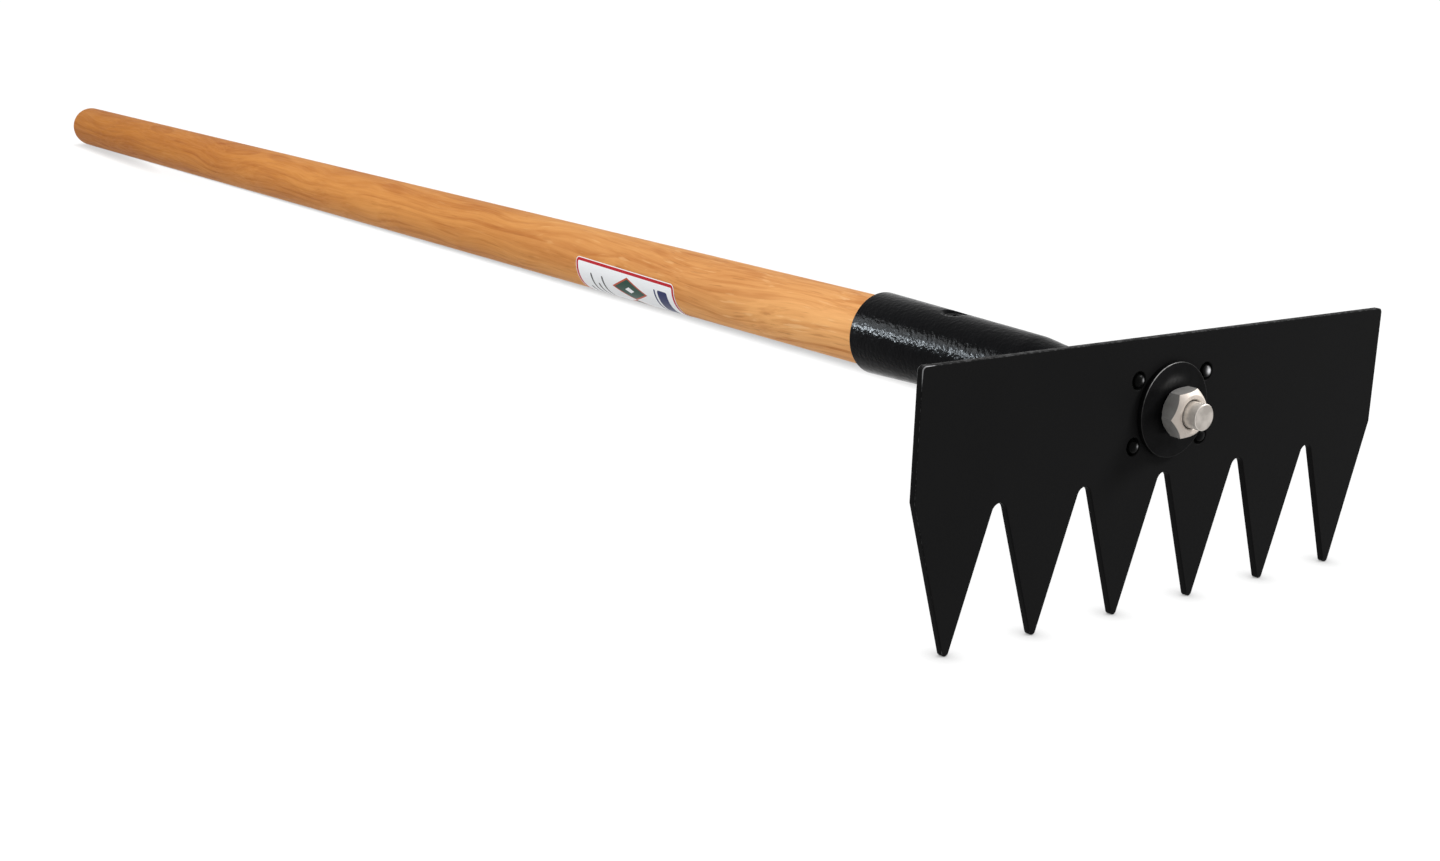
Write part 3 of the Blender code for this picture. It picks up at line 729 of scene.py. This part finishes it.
coneFront = neckEnd + socketSizes["neckLength"]
shoulder = coneFront + socketSizes["coneLength"]
mouth = shoulder + socketSizes["taperLength"]
mouthRadius = handleSizes["radius"] + headSizes["seatGap"] + socketSizes["wall"]
neckRadius = neckSizes["stemRadius"] + headSizes["seatGap"] + socketSizes["wall"]
handleFront = shoulder + handleSizes["fromShoulder"]
screwPlace = mouth - screwSizes["fromMouth"]


def taperRadius(place):
    # outer radius of the socket between its shoulder and its mouth
    share = (place - shoulder) / socketSizes["taperLength"]
    return socketSizes["shoulderRadius"] + share * (mouthRadius - socketSizes["shoulderRadius"])


def makeStem():
    # a round bar with broken edges, bored from its front for the stud
    radius, edge = neckSizes["stemRadius"], neckSizes["edgeBreak"]
    bore = headSizes["studRadius"] + headSizes["seatGap"]
    depth = studSizes["depthInStem"] + headSizes["seatGap"]
    length = neckSizes["bareLength"] + neckSizes["depthInNeck"]
    profile = np.array([
        (depth, 0), (depth, bore), (0, bore), (0, radius - edge), (edge, radius),
        (length - edge, radius), (length, radius - edge), (length, 0),
    ])
    profile[:, 0] += stemFront
    makeTurned("neckStem", profile, neckSizes["stemColumns"], neckPaint, "neck_stem",
               sharp=35, wearAndSheen=neckSizes["stemRub"])


def makeWeld(name, node, place, leg, way):
    # a fillet's round cross-section, whose size swells and shrinks round the bar as the bead was laid:
    # scale = 1 + ripple depth x (|sin(ripples x (angle + lean) / 2)| - 1/2), times a slow uneven swell of
    # 1 + the sum of height x sin(times x angle + start)
    s = neckSizes
    inner = s["stemRadius"] + headSizes["seatGap"] * 0.5
    turn = np.linspace(0, math.pi / 2, s["weldSteps"] + 1)
    fillet = leg * np.stack([np.cos(turn), np.sin(turn)], axis=1) ** s["weldFullness"]
    section = np.concatenate([fillet, [(0, 0)]])
    angle = ringAngles(s["weldColumns"])[None]
    lean = s["rippleLean"] * section[:, :1] / leg
    scale = 1 + s["rippleDepth"] / leg * (np.abs(np.sin(s["ripples"] * (angle + lean) / 2)) - 0.5)
    scale = scale * (1 + sum(height * np.sin(times * angle + start) for height, times, start in s["swells"]))
    points = roundAxis(inner + section[:, 1:] * scale, angle, place + way * section[:, :1] * scale)
    faces = gridFaces(*points.shape[:2], wrapRows=True, wrapColumns=True)
    if way > 0:
        faces = faces[:, ::-1]
    wearAndSheen = np.full(scale.shape, s["weldRub"])
    makePiece(name, points, faces, neckPaint, node, wearAndSheen=wearAndSheen, sharp=60)


def socketRows():
    # the tube's section: along its outside from the neck to the mouth, over the lip and back inside
    s = socketSizes
    outside = [
        (neckEnd, neckRadius), (coneFront, neckRadius), (shoulder, s["shoulderRadius"]), (mouth, mouthRadius),
    ]
    inside = [(place, radius - s["wall"]) for place, radius in outside[::-1]]
    radii = [s["frontRounding"], s["neckRounding"], s["shoulderRounding"], s["lipRounding"]]
    return filletedPath(outside + inside, radii + [*radii[:0:-1], 0], 8, closed=True)


def makeSocket():
    # The tube is a turned profile, with its rows one cell apart round the screw. There the grid's square
    # rings are drawn in: the outermost one stays, the next ones pass evenly to the round rim of the
    # dimple, and the inner ones go down its cone and into the screw's seat.
    s = socketSizes
    columns, patch, hole = s["columns"], s["patchRings"], s["rimRing"]
    crest = taperRadius(screwPlace)
    cell = 2 * math.pi * crest / columns
    profile = socketRows()
    start = np.flatnonzero(profile[:, 0] > screwPlace)[0] - 1
    finePlaces = screwPlace + np.arange(-patch, patch + 1) * cell
    profile = np.concatenate([
        profile[:start + 1], np.stack([finePlaces, taperRadius(finePlaces)], axis=1), profile[start + 1:],
    ])
    points = turnedPoints(profile, columns)
    steps = np.arange(-patch, patch + 1)
    along, across = np.meshgrid(steps, steps, indexing="ij")
    rows, cols = start + 1 + patch + along, columns // 4 - across
    ring = np.maximum(np.abs(along), np.abs(across))
    turn = np.arctan2(along, across)
    seat, sink = screwSizes["headRadius"] + headSizes["seatGap"], screwSizes["sink"]
    reach = np.full(turn.shape, seat + sink)
    for _ in range(8):      # closes in on where the dimple's cone of 45 degrees meets the tube
        surface = np.sqrt(taperRadius(screwPlace + reach * np.sin(turn)) ** 2 - (reach * np.cos(turn)) ** 2)
        reach = seat + sink - (crest - surface)
    share = np.clip((ring - hole) / (patch - hole), 0, 1)
    square = patch * cell / np.maximum(ring, 1)
    arc = crest * np.arcsin(reach * np.cos(turn) / crest) * (1 - share) + across * square * share
    place = screwPlace + reach * np.sin(turn) * (1 - share) + along * square * share
    radius = taperRadius(place) - s["rimDrop"] * (ring == hole)
    outside = np.stack([radius * np.sin(arc / crest), place, radius * np.cos(arc / crest)], axis=-1)
    floor, wall = s["floorRing"], s["wallRing"]
    inner = np.interp(ring, [0, floor, wall], [0, seat - s["wallLean"], seat])
    inner = np.where(ring > wall, seat + (reach - seat) * (ring - wall) / (hole - wall), inner)
    height = np.where(ring > wall, crest - sink + inner - seat, crest - sink)
    height = height - np.interp(ring, [floor, wall], [s["seatDepth"], 0])
    inside = np.stack([inner * np.cos(turn), screwPlace + inner * np.sin(turn), height], axis=-1)
    points[rows, cols] = np.where((ring < hole)[..., None], inside, outside)
    distance = np.hypot(points[..., 0], points[..., 2])
    lip = (points[..., 1] > mouth - s["lipReach"]) & (distance > mouthRadius - s["lipReach"])
    wearAndSheen = s["lipRub"] * lip
    wearAndSheen[rows, cols] = np.where(ring == hole, s["holeRub"], wearAndSheen[rows, cols])
    faces = gridFaces(*points.shape[:2], wrapRows=True, wrapColumns=True)
    makePiece("handleSocket", points, faces, socketPaint, "handle_socket",
              wearAndSheen=wearAndSheen, sharp=50)


def makeScrew():
    # a countersunk head turned round its own axis, pressed in by a cross: the recess is deep where the
    # point lies within half the slot's width of either arm, and its walls slope over slotWall
    s = screwSizes
    head, shank = s["headRadius"], s["shankRadius"]
    face = np.linspace(0, head - s["faceBreak"], s["faceRows"])
    pointStart = s["length"] - s["pointLength"]
    radius = np.concatenate([face, [head, head, shank, shank, 0]])
    drop = np.concatenate([0 * face, [s["breakDrop"], s["headRim"], s["headDepth"], pointStart, s["length"]]])
    angle = ringAngles(s["columns"])
    x, y = radius[:, None] * np.cos(angle), radius[:, None] * np.sin(angle)
    turned = math.radians(s["turn"])
    u, v = x * math.cos(turned) + y * math.sin(turned), y * math.cos(turned) - x * math.sin(turned)

    def arm(alongArm, acrossArm):
        wall = np.clip((s["slotWidth"] / 2 + s["slotEase"] - np.abs(acrossArm)) / s["slotWall"], 0, 1)
        end = np.clip((s["slotSpan"] / 2 - np.abs(alongArm)) / s["slotEnd"], 0, 1)
        return wall * end

    onFace = drop[:, None] == 0
    recess = np.maximum(arm(u, v), arm(v, u)) * s["slotDepth"] * onFace
    dome = s["dome"] * np.clip(1 - (radius / head) ** 2, 0, 1)[:, None] * onFace
    top = taperRadius(screwPlace) - s["sink"]
    points = np.stack([x, screwPlace + y, top - drop[:, None] - recess + dome], axis=-1)
    faces = gridFaces(*points.shape[:2], wrapColumns=True)[:, ::-1]
    wearAndSheen = np.zeros(points.shape[:2])
    # the last rows of the face and its edge are rubbed
    wearAndSheen[s["faceRows"] - s["rubRows"]:s["faceRows"] + 1] = s["rimRub"]
    makePiece("socketScrew", points, faces, darkSteel, "socket_screw", wearAndSheen=wearAndSheen, sharp=40)


makeStem()
makeWeld("flangeWeld", "flange_weld", stemFront, neckSizes["flangeWeldLeg"], 1)
makeWeld("neckWeld", "neck_weld", neckEnd - headSizes["seatGap"], neckSizes["neckWeldLeg"], -1)
makeSocket()
makeScrew()
print("neck: stem, welds, socket and screw made")


# Wooden handle: straight-grained, oiled, with soft streaks and short dark pores along the grain

woodLook = {
    "pale": (0.86, 0.44, 0.165), "brown": (0.54, 0.205, 0.058), "pore": (0.36, 0.13, 0.034),
    "fleck": (0.95, 0.60, 0.30), "poreShare": 0.40, "fleckShare": 0.38,
    # painted light and shade, lighter near the head and darker towards the butt: the tones that the colour is
    # multiplied by near the head, in the middle and at the butt, and where each lies along Y in metres
    "nearLitTone": (1.06, 1.08, 1.09), "middleShadeTone": (0.77, 0.68, 0.505), "farShadeTone": (0.60, 0.445, 0.20),
    "nearPlace": 0.2, "middlePlace": 0.58, "farPlace": 1.3,
    "pithX": -0.030, "pithZ": 0.060, "ringsPerMetre": 170.0, "wander": 0.040, "wanderStretch": (11, 4.5, 11),
    "ringShare": 0.36, "streakShare": 0.22, "nearStreakShare": 0.24, "broadShare": 0.30, "fibreShare": 0.12,
    "farDetail": 0.35, "detailEnd": 0.8, "roughness": (0.47, 0.60), "specular": 0.05,
    "fibreRelief": 0.5, "reliefDepth": 0.00005,
}
woodGrain = {
    # noise cells in a metre along X, Y and Z, then detail, roughness and distortion
    "patches": ((90, 9, 90), 2, 0.5, 0.0), "broad": ((52, 6, 52), 3, 0.5, 0.0),
    "streak": ((240, 10, 240), 3, 0.55, 0.3), "nearStreak": ((420, 12, 420), 2, 0.5, 0.0),
    "fibre": ((900, 30, 900), 2, 0.6, 0.0), "pore": ((640, 34, 640), 2, 0.5, 0.0),
    "fleck": ((520, 34, 480), 2, 0.5, 0.0),
}
woodEdges = {
    # the values between which each pattern goes from nothing to full
    "patches": (0.42, 0.66), "broad": (0.36, 0.64), "streak": (0.38, 0.66), "nearStreak": (0.48, 0.64),
    "fibre": (0.3, 0.7), "pore": (0.58, 0.70), "poreStreak": (0.40, 0.60), "fleck": (0.60, 0.72),
    "ringStart": (0.35, 0.88), "ringEnd": (0.90, 1.0),
}


def oiledWood():
    look, edges = woodLook, woodEdges
    material, tree, shader = newMaterial("oiledWood")
    place = rakePlace(tree)
    # the grain wanders slowly across the bar as it goes along it
    drift = addNode(tree, "ShaderNodeTexNoise", {
        "Vector": stretched(tree, place, *look["wanderStretch"]),
        "Scale": 1.0, "Detail": 2.0, "Roughness": 0.5,
    }).outputs["Color"]
    centred = vectorMath(tree, "SUBTRACT", drift, (0.5, 0.5, 0.5))
    grain = vectorMath(tree, "ADD", place, stretched(tree, centred, look["wander"], 0, look["wander"]))

    def grainNoise(name):
        stretch, *settings = woodGrain[name]
        return noise(tree, stretched(tree, grain, *stretch), 1.0, *settings)

    # growth rings round the pith, each a thin brown line that comes and goes
    fromPith = addNode(tree, "ShaderNodeVectorMath", {
        0: stretched(tree, grain, 1, 0, 1), 1: (look["pithX"], 0, look["pithZ"]),
    }, operation="DISTANCE").outputs["Value"]
    saw = calc(tree, "FRACT", product(tree, fromPith, look["ringsPerMetre"]))
    late = spread(tree, saw, *edges["ringStart"])
    late = product(tree, late, spread(tree, saw, *edges["ringEnd"], 1.0, 0.0))
    patches = spread(tree, grainNoise("patches"), *edges["patches"], 0.1, 1.0)
    broad, streak, fibre = grainNoise("broad"), grainNoise("streak"), grainNoise("fibre")
    # the fine marks show most near the socket and fade towards the butt
    along = placeAlong(tree, place)
    detail = spread(tree, along, look["nearPlace"], look["detailEnd"], 1.0, look["farDetail"])
    pores = spread(tree, grainNoise("pore"), *edges["pore"])
    pores = product(tree, pores, spread(tree, streak, *edges["poreStreak"], 0.2, 1.0), detail)
    flecks = product(tree, spread(tree, grainNoise("fleck"), *edges["fleck"]), detail)
    # how far the pale wood turns brown: rings, streaks, broad bands and fibres, and near the socket more
    # streaks
    darker = product(tree, late, patches, look["ringShare"])
    for layer, name in ((streak, "streak"), (broad, "broad"), (fibre, "fibre")):
        darker = calc(tree, "ADD", darker, spread(tree, layer, *edges[name], 0.0, look[name + "Share"]))
    nearStreaks = spread(tree, grainNoise("nearStreak"), *edges["nearStreak"])
    nearStreaks = product(tree, nearStreaks, detail, look["nearStreakShare"])
    darker = calc(tree, "MINIMUM", calc(tree, "ADD", darker, nearStreaks), 1.0)
    colour = mixColour(tree, darker, look["pale"], look["brown"])
    colour = mixColour(tree, product(tree, flecks, look["fleckShare"]), colour, look["fleck"])
    colour = mixColour(tree, product(tree, pores, look["poreShare"]), colour, look["pore"])
    # painted shade: the wood is darker and redder towards the butt, as the light falls off along the handle
    nearHalf = spread(tree, along, look["nearPlace"], look["middlePlace"], kind="LINEAR")
    farHalf = spread(tree, along, look["middlePlace"], look["farPlace"], kind="LINEAR")
    tone = mixColour(tree, nearHalf, look["nearLitTone"], look["middleShadeTone"])
    tone = mixColour(tree, farHalf, tone, look["farShadeTone"])
    colour = vectorMath(tree, "MULTIPLY", colour, tone)
    relief = calc(tree, "SUBTRACT", product(tree, fibre, look["fibreRelief"]), pores)
    finishShader(tree, shader, {
        "Base Color": colour,
        "Roughness": spread(tree, fibre, *edges["fibre"], *look["roughness"]),
        "Specular IOR Level": look["specular"],
        "Normal": bump(tree, relief, look["reliefDepth"]),
    })
    return material


def makeHandle():
    # a straight bar: taper inside the socket, even grip, and half an ellipse at the butt
    s = handleSizes
    grip = mouth - handleFront
    frontRadius = taperRadius(handleFront) - socketSizes["wall"] - headSizes["seatGap"]
    slope = (s["radius"] - frontRadius) / grip
    turn = np.linspace(0, math.pi / 2, s["buttRows"] + 1)[1:]
    domeStart = s["length"] - s["buttDepth"]
    place = np.concatenate([
        [0, 0, s["noseChamfer"]], np.linspace(grip, domeStart, s["gripRows"]),
        domeStart + s["buttDepth"] * np.sin(turn),
    ])
    radius = np.concatenate([
        [0, frontRadius - s["noseChamfer"], frontRadius + slope * s["noseChamfer"]],
        np.full(s["gripRows"], s["radius"]), s["radius"] * np.cos(turn),
    ])
    profile = np.stack([handleFront + place, radius], axis=1)
    profile[-1, 1] = 0
    makeTurned("woodenHandle", profile, s["columns"], oiledWood(), "handle", sharp=40)


makeHandle()
print("handle made")


# Label: a sheet bent round the handle, with a plain generic print

# edgeAngle is where its upper left edge lies round the handle, in degrees from the right over the top, and
# printUnit is the length in mm of one unit of its map
labelSizes = {
    "length": 108.0, "width": 57.0, "cornerRadius": 3.5, "lift": 0.06, "thickness": 0.16,
    "fromMouth": 164.0, "edgeAngle": 171.0, "skew": 3.6, "printUnit": 100.0,
    "cornerSteps": 9, "lengthSteps": 60, "widthSteps": 72,
}
labelLook = {
    "paper": (0.86, 0.88, 0.90), "border": (0.44, 0.004, 0.012), "navy": (0.006, 0.015, 0.095),
    "green": (0.004, 0.050, 0.032), "orange": (0.46, 0.060, 0.020), "grey": (0.05, 0.05, 0.055),
    "borderInset": 0.5, "borderWidth": 1.9, "roughness": (0.34, 0.42), "specular": 0.15,
    "fibreScale": 220, "fibreEdges": (0.3, 0.7), "fibreTone": 0.95, "fibreDepth": 0.00001, "inkBlur": 0.05,
}
# the print, in millimetres along and across the label from its upper corner towards the head
labelPrint = {
    # the bars at the end towards the head: each one's place along and half width, then their gap to the
    # long edges and their rounding
    "navyBars": ((13.0, 5.0), (21.0, 0.8)), "navyInset": 6.5, "navyRounding": 1.5,
    # a row of diamonds: first place, pitch across, half sizes, and the colours from its rim to its heart
    "diamondCount": 3, "diamondPlace": (50.0, 13.0), "diamondPitch": 17.0, "diamondSize": (19.0, 8.6),
    "diamondColours": ((1.0, "orange"), (0.87, "green"), (0.26, "paper")),
    # half lengths of the grey bars at the far end, their first place, pitch and half width
    "greyBars": (20.0, 14.0, 20.0, 9.0), "greyPlace": 79.0, "greyPitch": 6.2, "greyHalfWidth": 0.9,
}


def makeLabel():
    # rows run along the handle and columns round it. Near either end the columns draw in by
    # radius - sqrt(radius^2 - distance into the corner^2), which rounds the corners.
    s = labelSizes
    half, halfWidth, corner = s["length"] / 2, s["width"] / 2, s["cornerRadius"]
    flat = half - corner
    rounding = np.sin(np.linspace(0, math.pi / 2, s["cornerSteps"] + 1)) * corner
    middle = np.linspace(-flat, flat, s["lengthSteps"] + 1)[1:-1]
    along = np.concatenate([-flat - rounding[::-1], middle, flat + rounding])
    into = np.clip(np.abs(along) - flat, 0, corner)
    drawIn = corner - np.sqrt(np.maximum(corner ** 2 - into ** 2, 0))
    across = np.linspace(-1, 1, s["widthSteps"] + 1)[None] * (halfWidth - drawIn)[:, None]
    radius = handleSizes["radius"] + s["lift"] + s["thickness"]
    lean = -s["skew"] * along[:, None] / half        # it was put on a little askew
    angle = np.radians(s["edgeAngle"] + lean) + (across + halfWidth) / radius
    points = roundAxis(radius, angle, (mouth + s["fromMouth"] + half + along)[:, None])
    printPlace = np.broadcast_arrays((along + half)[:, None], across + halfWidth)
    uv = np.stack(printPlace, axis=-1) / s["printUnit"]
    label = makePiece("handleLabel", points, gridFaces(*across.shape), labelPaper(), "handle_label",
                      uv=uv, sharp=60)
    wall = label.modifiers.new("paper", "SOLIDIFY")
    wall.thickness = s["thickness"] / mmPerMetre
    wall.offset = -1


def labelPaper():
    s, look = labelSizes, labelLook
    material, tree, shader = newMaterial("labelPaper")
    uv = addNode(tree, "ShaderNodeUVMap", {}, uv_map="print").outputs[0]
    parts = addNode(tree, "ShaderNodeSeparateXYZ", {0: uv})
    along, across = (product(tree, parts.outputs[k], s["printUnit"]) for k in range(2))

    def edge(distance):
        # 1 inside the shape and 0 outside it
        return spread(tree, distance, -look["inkBlur"], look["inkBlur"], 1.0, 0.0, "LINEAR")

    def offsets(centre):
        return [calc(tree, "ABSOLUTE", calc(tree, "SUBTRACT", value, middle))
                for value, middle in zip((along, across), centre)]

    def boxDistance(centre, halfSize, radius):
        # distance to a box with round corners: length of what lies past the inner box, less the radius
        past = [calc(tree, "MAXIMUM", calc(tree, "SUBTRACT", offset, reach - radius), 0.0)
                for offset, reach in zip(offsets(centre), halfSize)]
        squares = calc(tree, "ADD", *(product(tree, value, value) for value in past))
        return calc(tree, "SUBTRACT", calc(tree, "SQRT", squares), radius)

    def diamondDistance(centre, halfSize):
        # (sum of the offsets, each over its half size, less 1) x about the distance from middle to side
        shares = [calc(tree, "DIVIDE", offset, reach) for offset, reach in zip(offsets(centre), halfSize)]
        return product(tree, calc(tree, "SUBTRACT", calc(tree, "ADD", *shares), 1.0), min(halfSize) * 0.7)

    middle = (s["length"] / 2, s["width"] / 2)
    fromRim = boxDistance(middle, middle, s["cornerRadius"])
    frameOuter = edge(calc(tree, "ADD", fromRim, look["borderInset"]))
    frameInner = edge(calc(tree, "ADD", fromRim, look["borderInset"] + look["borderWidth"]))
    border = calc(tree, "SUBTRACT", frameOuter, frameInner)
    fibres = noise(tree, uv, look["fibreScale"], 3)
    shaded = tuple(c * look["fibreTone"] for c in look["paper"])
    colour = mixColour(tree, spread(tree, fibres, *look["fibreEdges"]), look["paper"], shaded)
    colour = mixColour(tree, border, colour, look["border"])
    layout = labelPrint
    for place, reach in layout["navyBars"]:
        halfSize = (reach, s["width"] / 2 - layout["navyInset"])
        bar = edge(boxDistance((place, s["width"] / 2), halfSize, min(reach, layout["navyRounding"])))
        colour = mixColour(tree, bar, colour, look["navy"])
    for number in range(layout["diamondCount"]):
        place, first = layout["diamondPlace"]
        for reach, tone in layout["diamondColours"]:
            halfSize = tuple(size * reach for size in layout["diamondSize"])
            mask = edge(diamondDistance((place, first + layout["diamondPitch"] * number), halfSize))
            colour = mixColour(tree, mask, colour, look[tone])
    for number, reach in enumerate(layout["greyBars"]):
        place, halfWidth = layout["greyPlace"] + layout["greyPitch"] * number, layout["greyHalfWidth"]
        bar = edge(boxDistance((place, s["width"] / 2), (halfWidth, reach), halfWidth))
        colour = mixColour(tree, bar, colour, look["grey"])
    finishShader(tree, shader, {
        "Base Color": colour,
        "Roughness": spread(tree, fibres, *look["fibreEdges"], *look["roughness"]),
        "Specular IOR Level": look["specular"],
        "Normal": bump(tree, fibres, look["fibreDepth"]),
    })
    return material


makeLabel()
print("label made")


# Studio: white floor, soft light and the camera at the photograph's place

studio = {
    # the floor's colour for soft bounced light, its colour as the camera sees it, the glow that tops it up
    # to white, how far the contact shading reaches from what stands on it, and what it leaves of the tone
    # under the teeth and under the butt. Places along Y and reaches are metres.
    "bounceColour": 0.214, "floorColour": 0.22, "floorGlow": 0.385, "floorHalf": 30.0, "contactReach": 0.010,
    "contactTeeth": 0.30, "contactButt": 0.66, "teethPlace": -0.5, "buttPlace": 0.5, "contactLow": 0.2,
    "contactSamples": 6, "floorRoughness": 0.9, "worldStrength": 0.58,
    # azimuth and elevation of where each sun stands, its strength and how wide it is
    "handleSun": (-60.0, 58.0, 1.25, 50.0), "headSun": (60.0, 35.0, 2.9, 14.0),
    "shadowSun": (-60.0, 16.16, 25.4, 2.3), "sunDistance": 2000.0,
    # place, size in metres and energy of the two lamps that show in the socket, a broad faint one and a
    # narrow bright one below it, and of the one that lights everything
    "sheenLamp": ((-703.0, 960.0, 370.0), (0.5, 0.34), 5.0),
    "glintLamp": ((-703.0, 900.0, 205.0), (0.42, 0.042), 17.0),
    "fillLamp": ((-703.0, 990.0, 492.0), (0.45, 0.24), 2.6),
    "lampTarget": (0.0, 140.0, 10.0), "lampColour": (0.84, 0.93, 1.0),
}
cameraFit = {
    "place": (-656.98, -538.82, 185.594), "azimuth": -36.915, "elevation": 13.833, "roll": 2.081,
    "focalPixels": 1883.335, "imageWidth": 1440, "sensorWidth": 36.0,
}


def skyDirection(azimuth, elevation):
    # X = sin(azimuth) cos(elevation), Y = -cos(azimuth) cos(elevation), Z = sin(elevation), in degrees
    az, el = math.radians(azimuth), math.radians(elevation)
    return np.array([math.sin(az) * math.cos(el), -math.cos(az) * math.cos(el), math.sin(el)])


def seenDirectly(tree):
    # 1 for a ray from the camera, a reflection or a glass, and 0 for soft bounced light
    ray = tree.nodes.new("ShaderNodeLightPath").outputs
    return calc(tree, "MAXIMUM", ray["Is Camera Ray"],
                calc(tree, "MAXIMUM", ray["Is Glossy Ray"], ray["Is Transmission Ray"]))


def makeFloor():
    s = studio
    half = s["floorHalf"]
    mesh = bpy.data.meshes.new("floor")
    corners = [(-half, -half, 0), (half, -half, 0), (half, half, 0), (-half, half, 0)]
    mesh.from_pydata(corners, [], [(0, 1, 2, 3)])
    material, tree, shader = newMaterial("floorPaper")
    # where the camera or a reflection sees the floor it is paler and glows, which brings the lit paper up
    # to white
    seen = seenDirectly(tree)
    # painted shade: the ambient occlusion darkens the floor near what stands on it, more under the teeth than
    # under the butt
    inputs = {"Distance": s["contactReach"]}
    contact = addNode(tree, "ShaderNodeAmbientOcclusion", inputs, samples=s["contactSamples"]).outputs["AO"]
    along = placeAlong(tree, objectPlace(tree))
    least = spread(tree, along, s["teethPlace"], s["buttPlace"], s["contactTeeth"], s["contactButt"])
    contact = spread(tree, contact, s["contactLow"], 1.0, least, 1.0, "LINEAR")
    shown = product(tree, contact, s["floorColour"])
    tone = spread(tree, seen, 0, 1, s["bounceColour"], shown, "LINEAR")
    finishShader(tree, shader, {
        "Base Color": tone, "Roughness": s["floorRoughness"], "Specular IOR Level": 0.0,
    })
    glow = addNode(tree, "ShaderNodeEmission", {
        "Color": (1, 1, 1, 1), "Strength": product(tree, seen, contact, s["floorGlow"]),
    }).outputs[0]
    surface = tree.nodes["Principled BSDF"].outputs[0]
    both = addNode(tree, "ShaderNodeAddShader", {0: surface, 1: glow})
    tree.links.new(both.outputs[0], tree.nodes["Material Output"].inputs["Surface"])
    mesh.materials.append(material)
    addObject("floor", mesh)


def makeWorld():
    world = bpy.data.worlds.new("studioWorld")
    world.use_nodes = True
    bpy.context.scene.world = world
    tree = world.node_tree
    background = tree.nodes["Background"]
    background.inputs["Color"].default_value = (1, 1, 1, 1)
    strength = spread(tree, seenDirectly(tree), 0, 1, studio["worldStrength"], 1.0, "LINEAR")
    tree.links.new(strength, background.inputs["Strength"])


def aimed(place, target):
    # a matrix at place, whose -Z looks at target, both in the rake's frame
    away = unit(toWorld(place) - toWorld(target))
    right = unit(np.cross([0, 0, 1], away))
    turned = np.eye(4)
    turned[:3] = np.stack([right, np.cross(away, right), away, toWorld(place)], axis=1)
    return Matrix(turned.tolist())


def makeLight(name, kind, energy, place, target, **settings):
    light = bpy.data.lights.new(name, kind)
    light.energy = energy
    for key, value in settings.items():
        setattr(light, key, value)
    holder = addObject(name, light)
    holder.matrix_world = aimed(place, target)
    holder.visible_camera = False
    return holder


def gathered(name, pieces):
    group = bpy.data.collections.new(name)
    for piece in pieces:
        group.objects.link(bpy.data.objects[piece])
    return group


def makeSun(name, reached, shadowedBy=None):
    # the sun lights only the pieces that it reaches, and where shadowedBy names some, only they cast its
    # shadow
    azimuth, elevation, strength, angle = studio[name]
    place = studio["sunDistance"] * skyDirection(azimuth, elevation)
    sun = makeLight(name, "SUN", strength, place, (0, 0, 0), angle=math.radians(angle))
    sun.light_linking.receiver_collection = gathered(name + "Reach", reached)
    if shadowedBy:
        sun.light_linking.blocker_collection = gathered(name + "Blockers", shadowedBy)


def makePanel(name, inSocketOnly=True):
    place, size, energy = studio[name]
    panel = makeLight(name, "AREA", energy, place, studio["lampTarget"],
                      shape="RECTANGLE", size=size[0], size_y=size[1])
    if inSocketOnly:
        panel.data.color = studio["lampColour"]
        panel.visible_diffuse = False
        panel.light_linking.receiver_collection = gathered(name + "Reach", ["handleSocket"])


def makeLights():
    pins = [f"locatingPin{number}" for number in range(1, len(pinPlaces) + 1)]
    head = ["rakeBlade", "headWasher", "hexNut", "headStud", *pins]
    bar = ["woodenHandle", "handleLabel", "handleSocket", "socketScrew", "neckStem", "neckWeld"]
    makeSun("headSun", head)
    makeSun("handleSun", [*bar, "flangeWeld", "mountingFlange"])
    makeSun("shadowSun", ["floor"], bar)
    makePanel("fillLamp", inSocketOnly=False)
    makePanel("sheenLamp")
    makePanel("glintLamp")


def makeCamera():
    # the camera looks back along its azimuth and elevation, and is rolled about that line
    fit = cameraFit
    roll = math.radians(fit["roll"])
    back = skyDirection(fit["azimuth"], fit["elevation"])
    levelRight = unit(np.cross(-back, [0, 0, 1]))
    levelUp = np.cross(levelRight, -back)
    right = levelRight * math.cos(roll) + levelUp * math.sin(roll)
    up = levelUp * math.cos(roll) - levelRight * math.sin(roll)
    turned = np.eye(4)
    turned[:3, :3] = rakeToWorld[:3, :3] @ np.stack([right, up, back], axis=1)
    turned[:3, 3] = toWorld(fit["place"])
    data = bpy.data.cameras.new("photoCamera")
    data.sensor_width = fit["sensorWidth"]
    data.lens = fit["focalPixels"] / fit["imageWidth"] * fit["sensorWidth"]
    data.clip_start, data.clip_end = 0.01, 100
    camera = addObject("photoCamera", data)
    camera.matrix_world = Matrix(turned.tolist())
    bpy.context.scene.camera = camera


makeFloor()
makeWorld()
makeLights()
makeCamera()
bpy.context.scene.view_settings.view_transform = "Standard"
print("studio made")
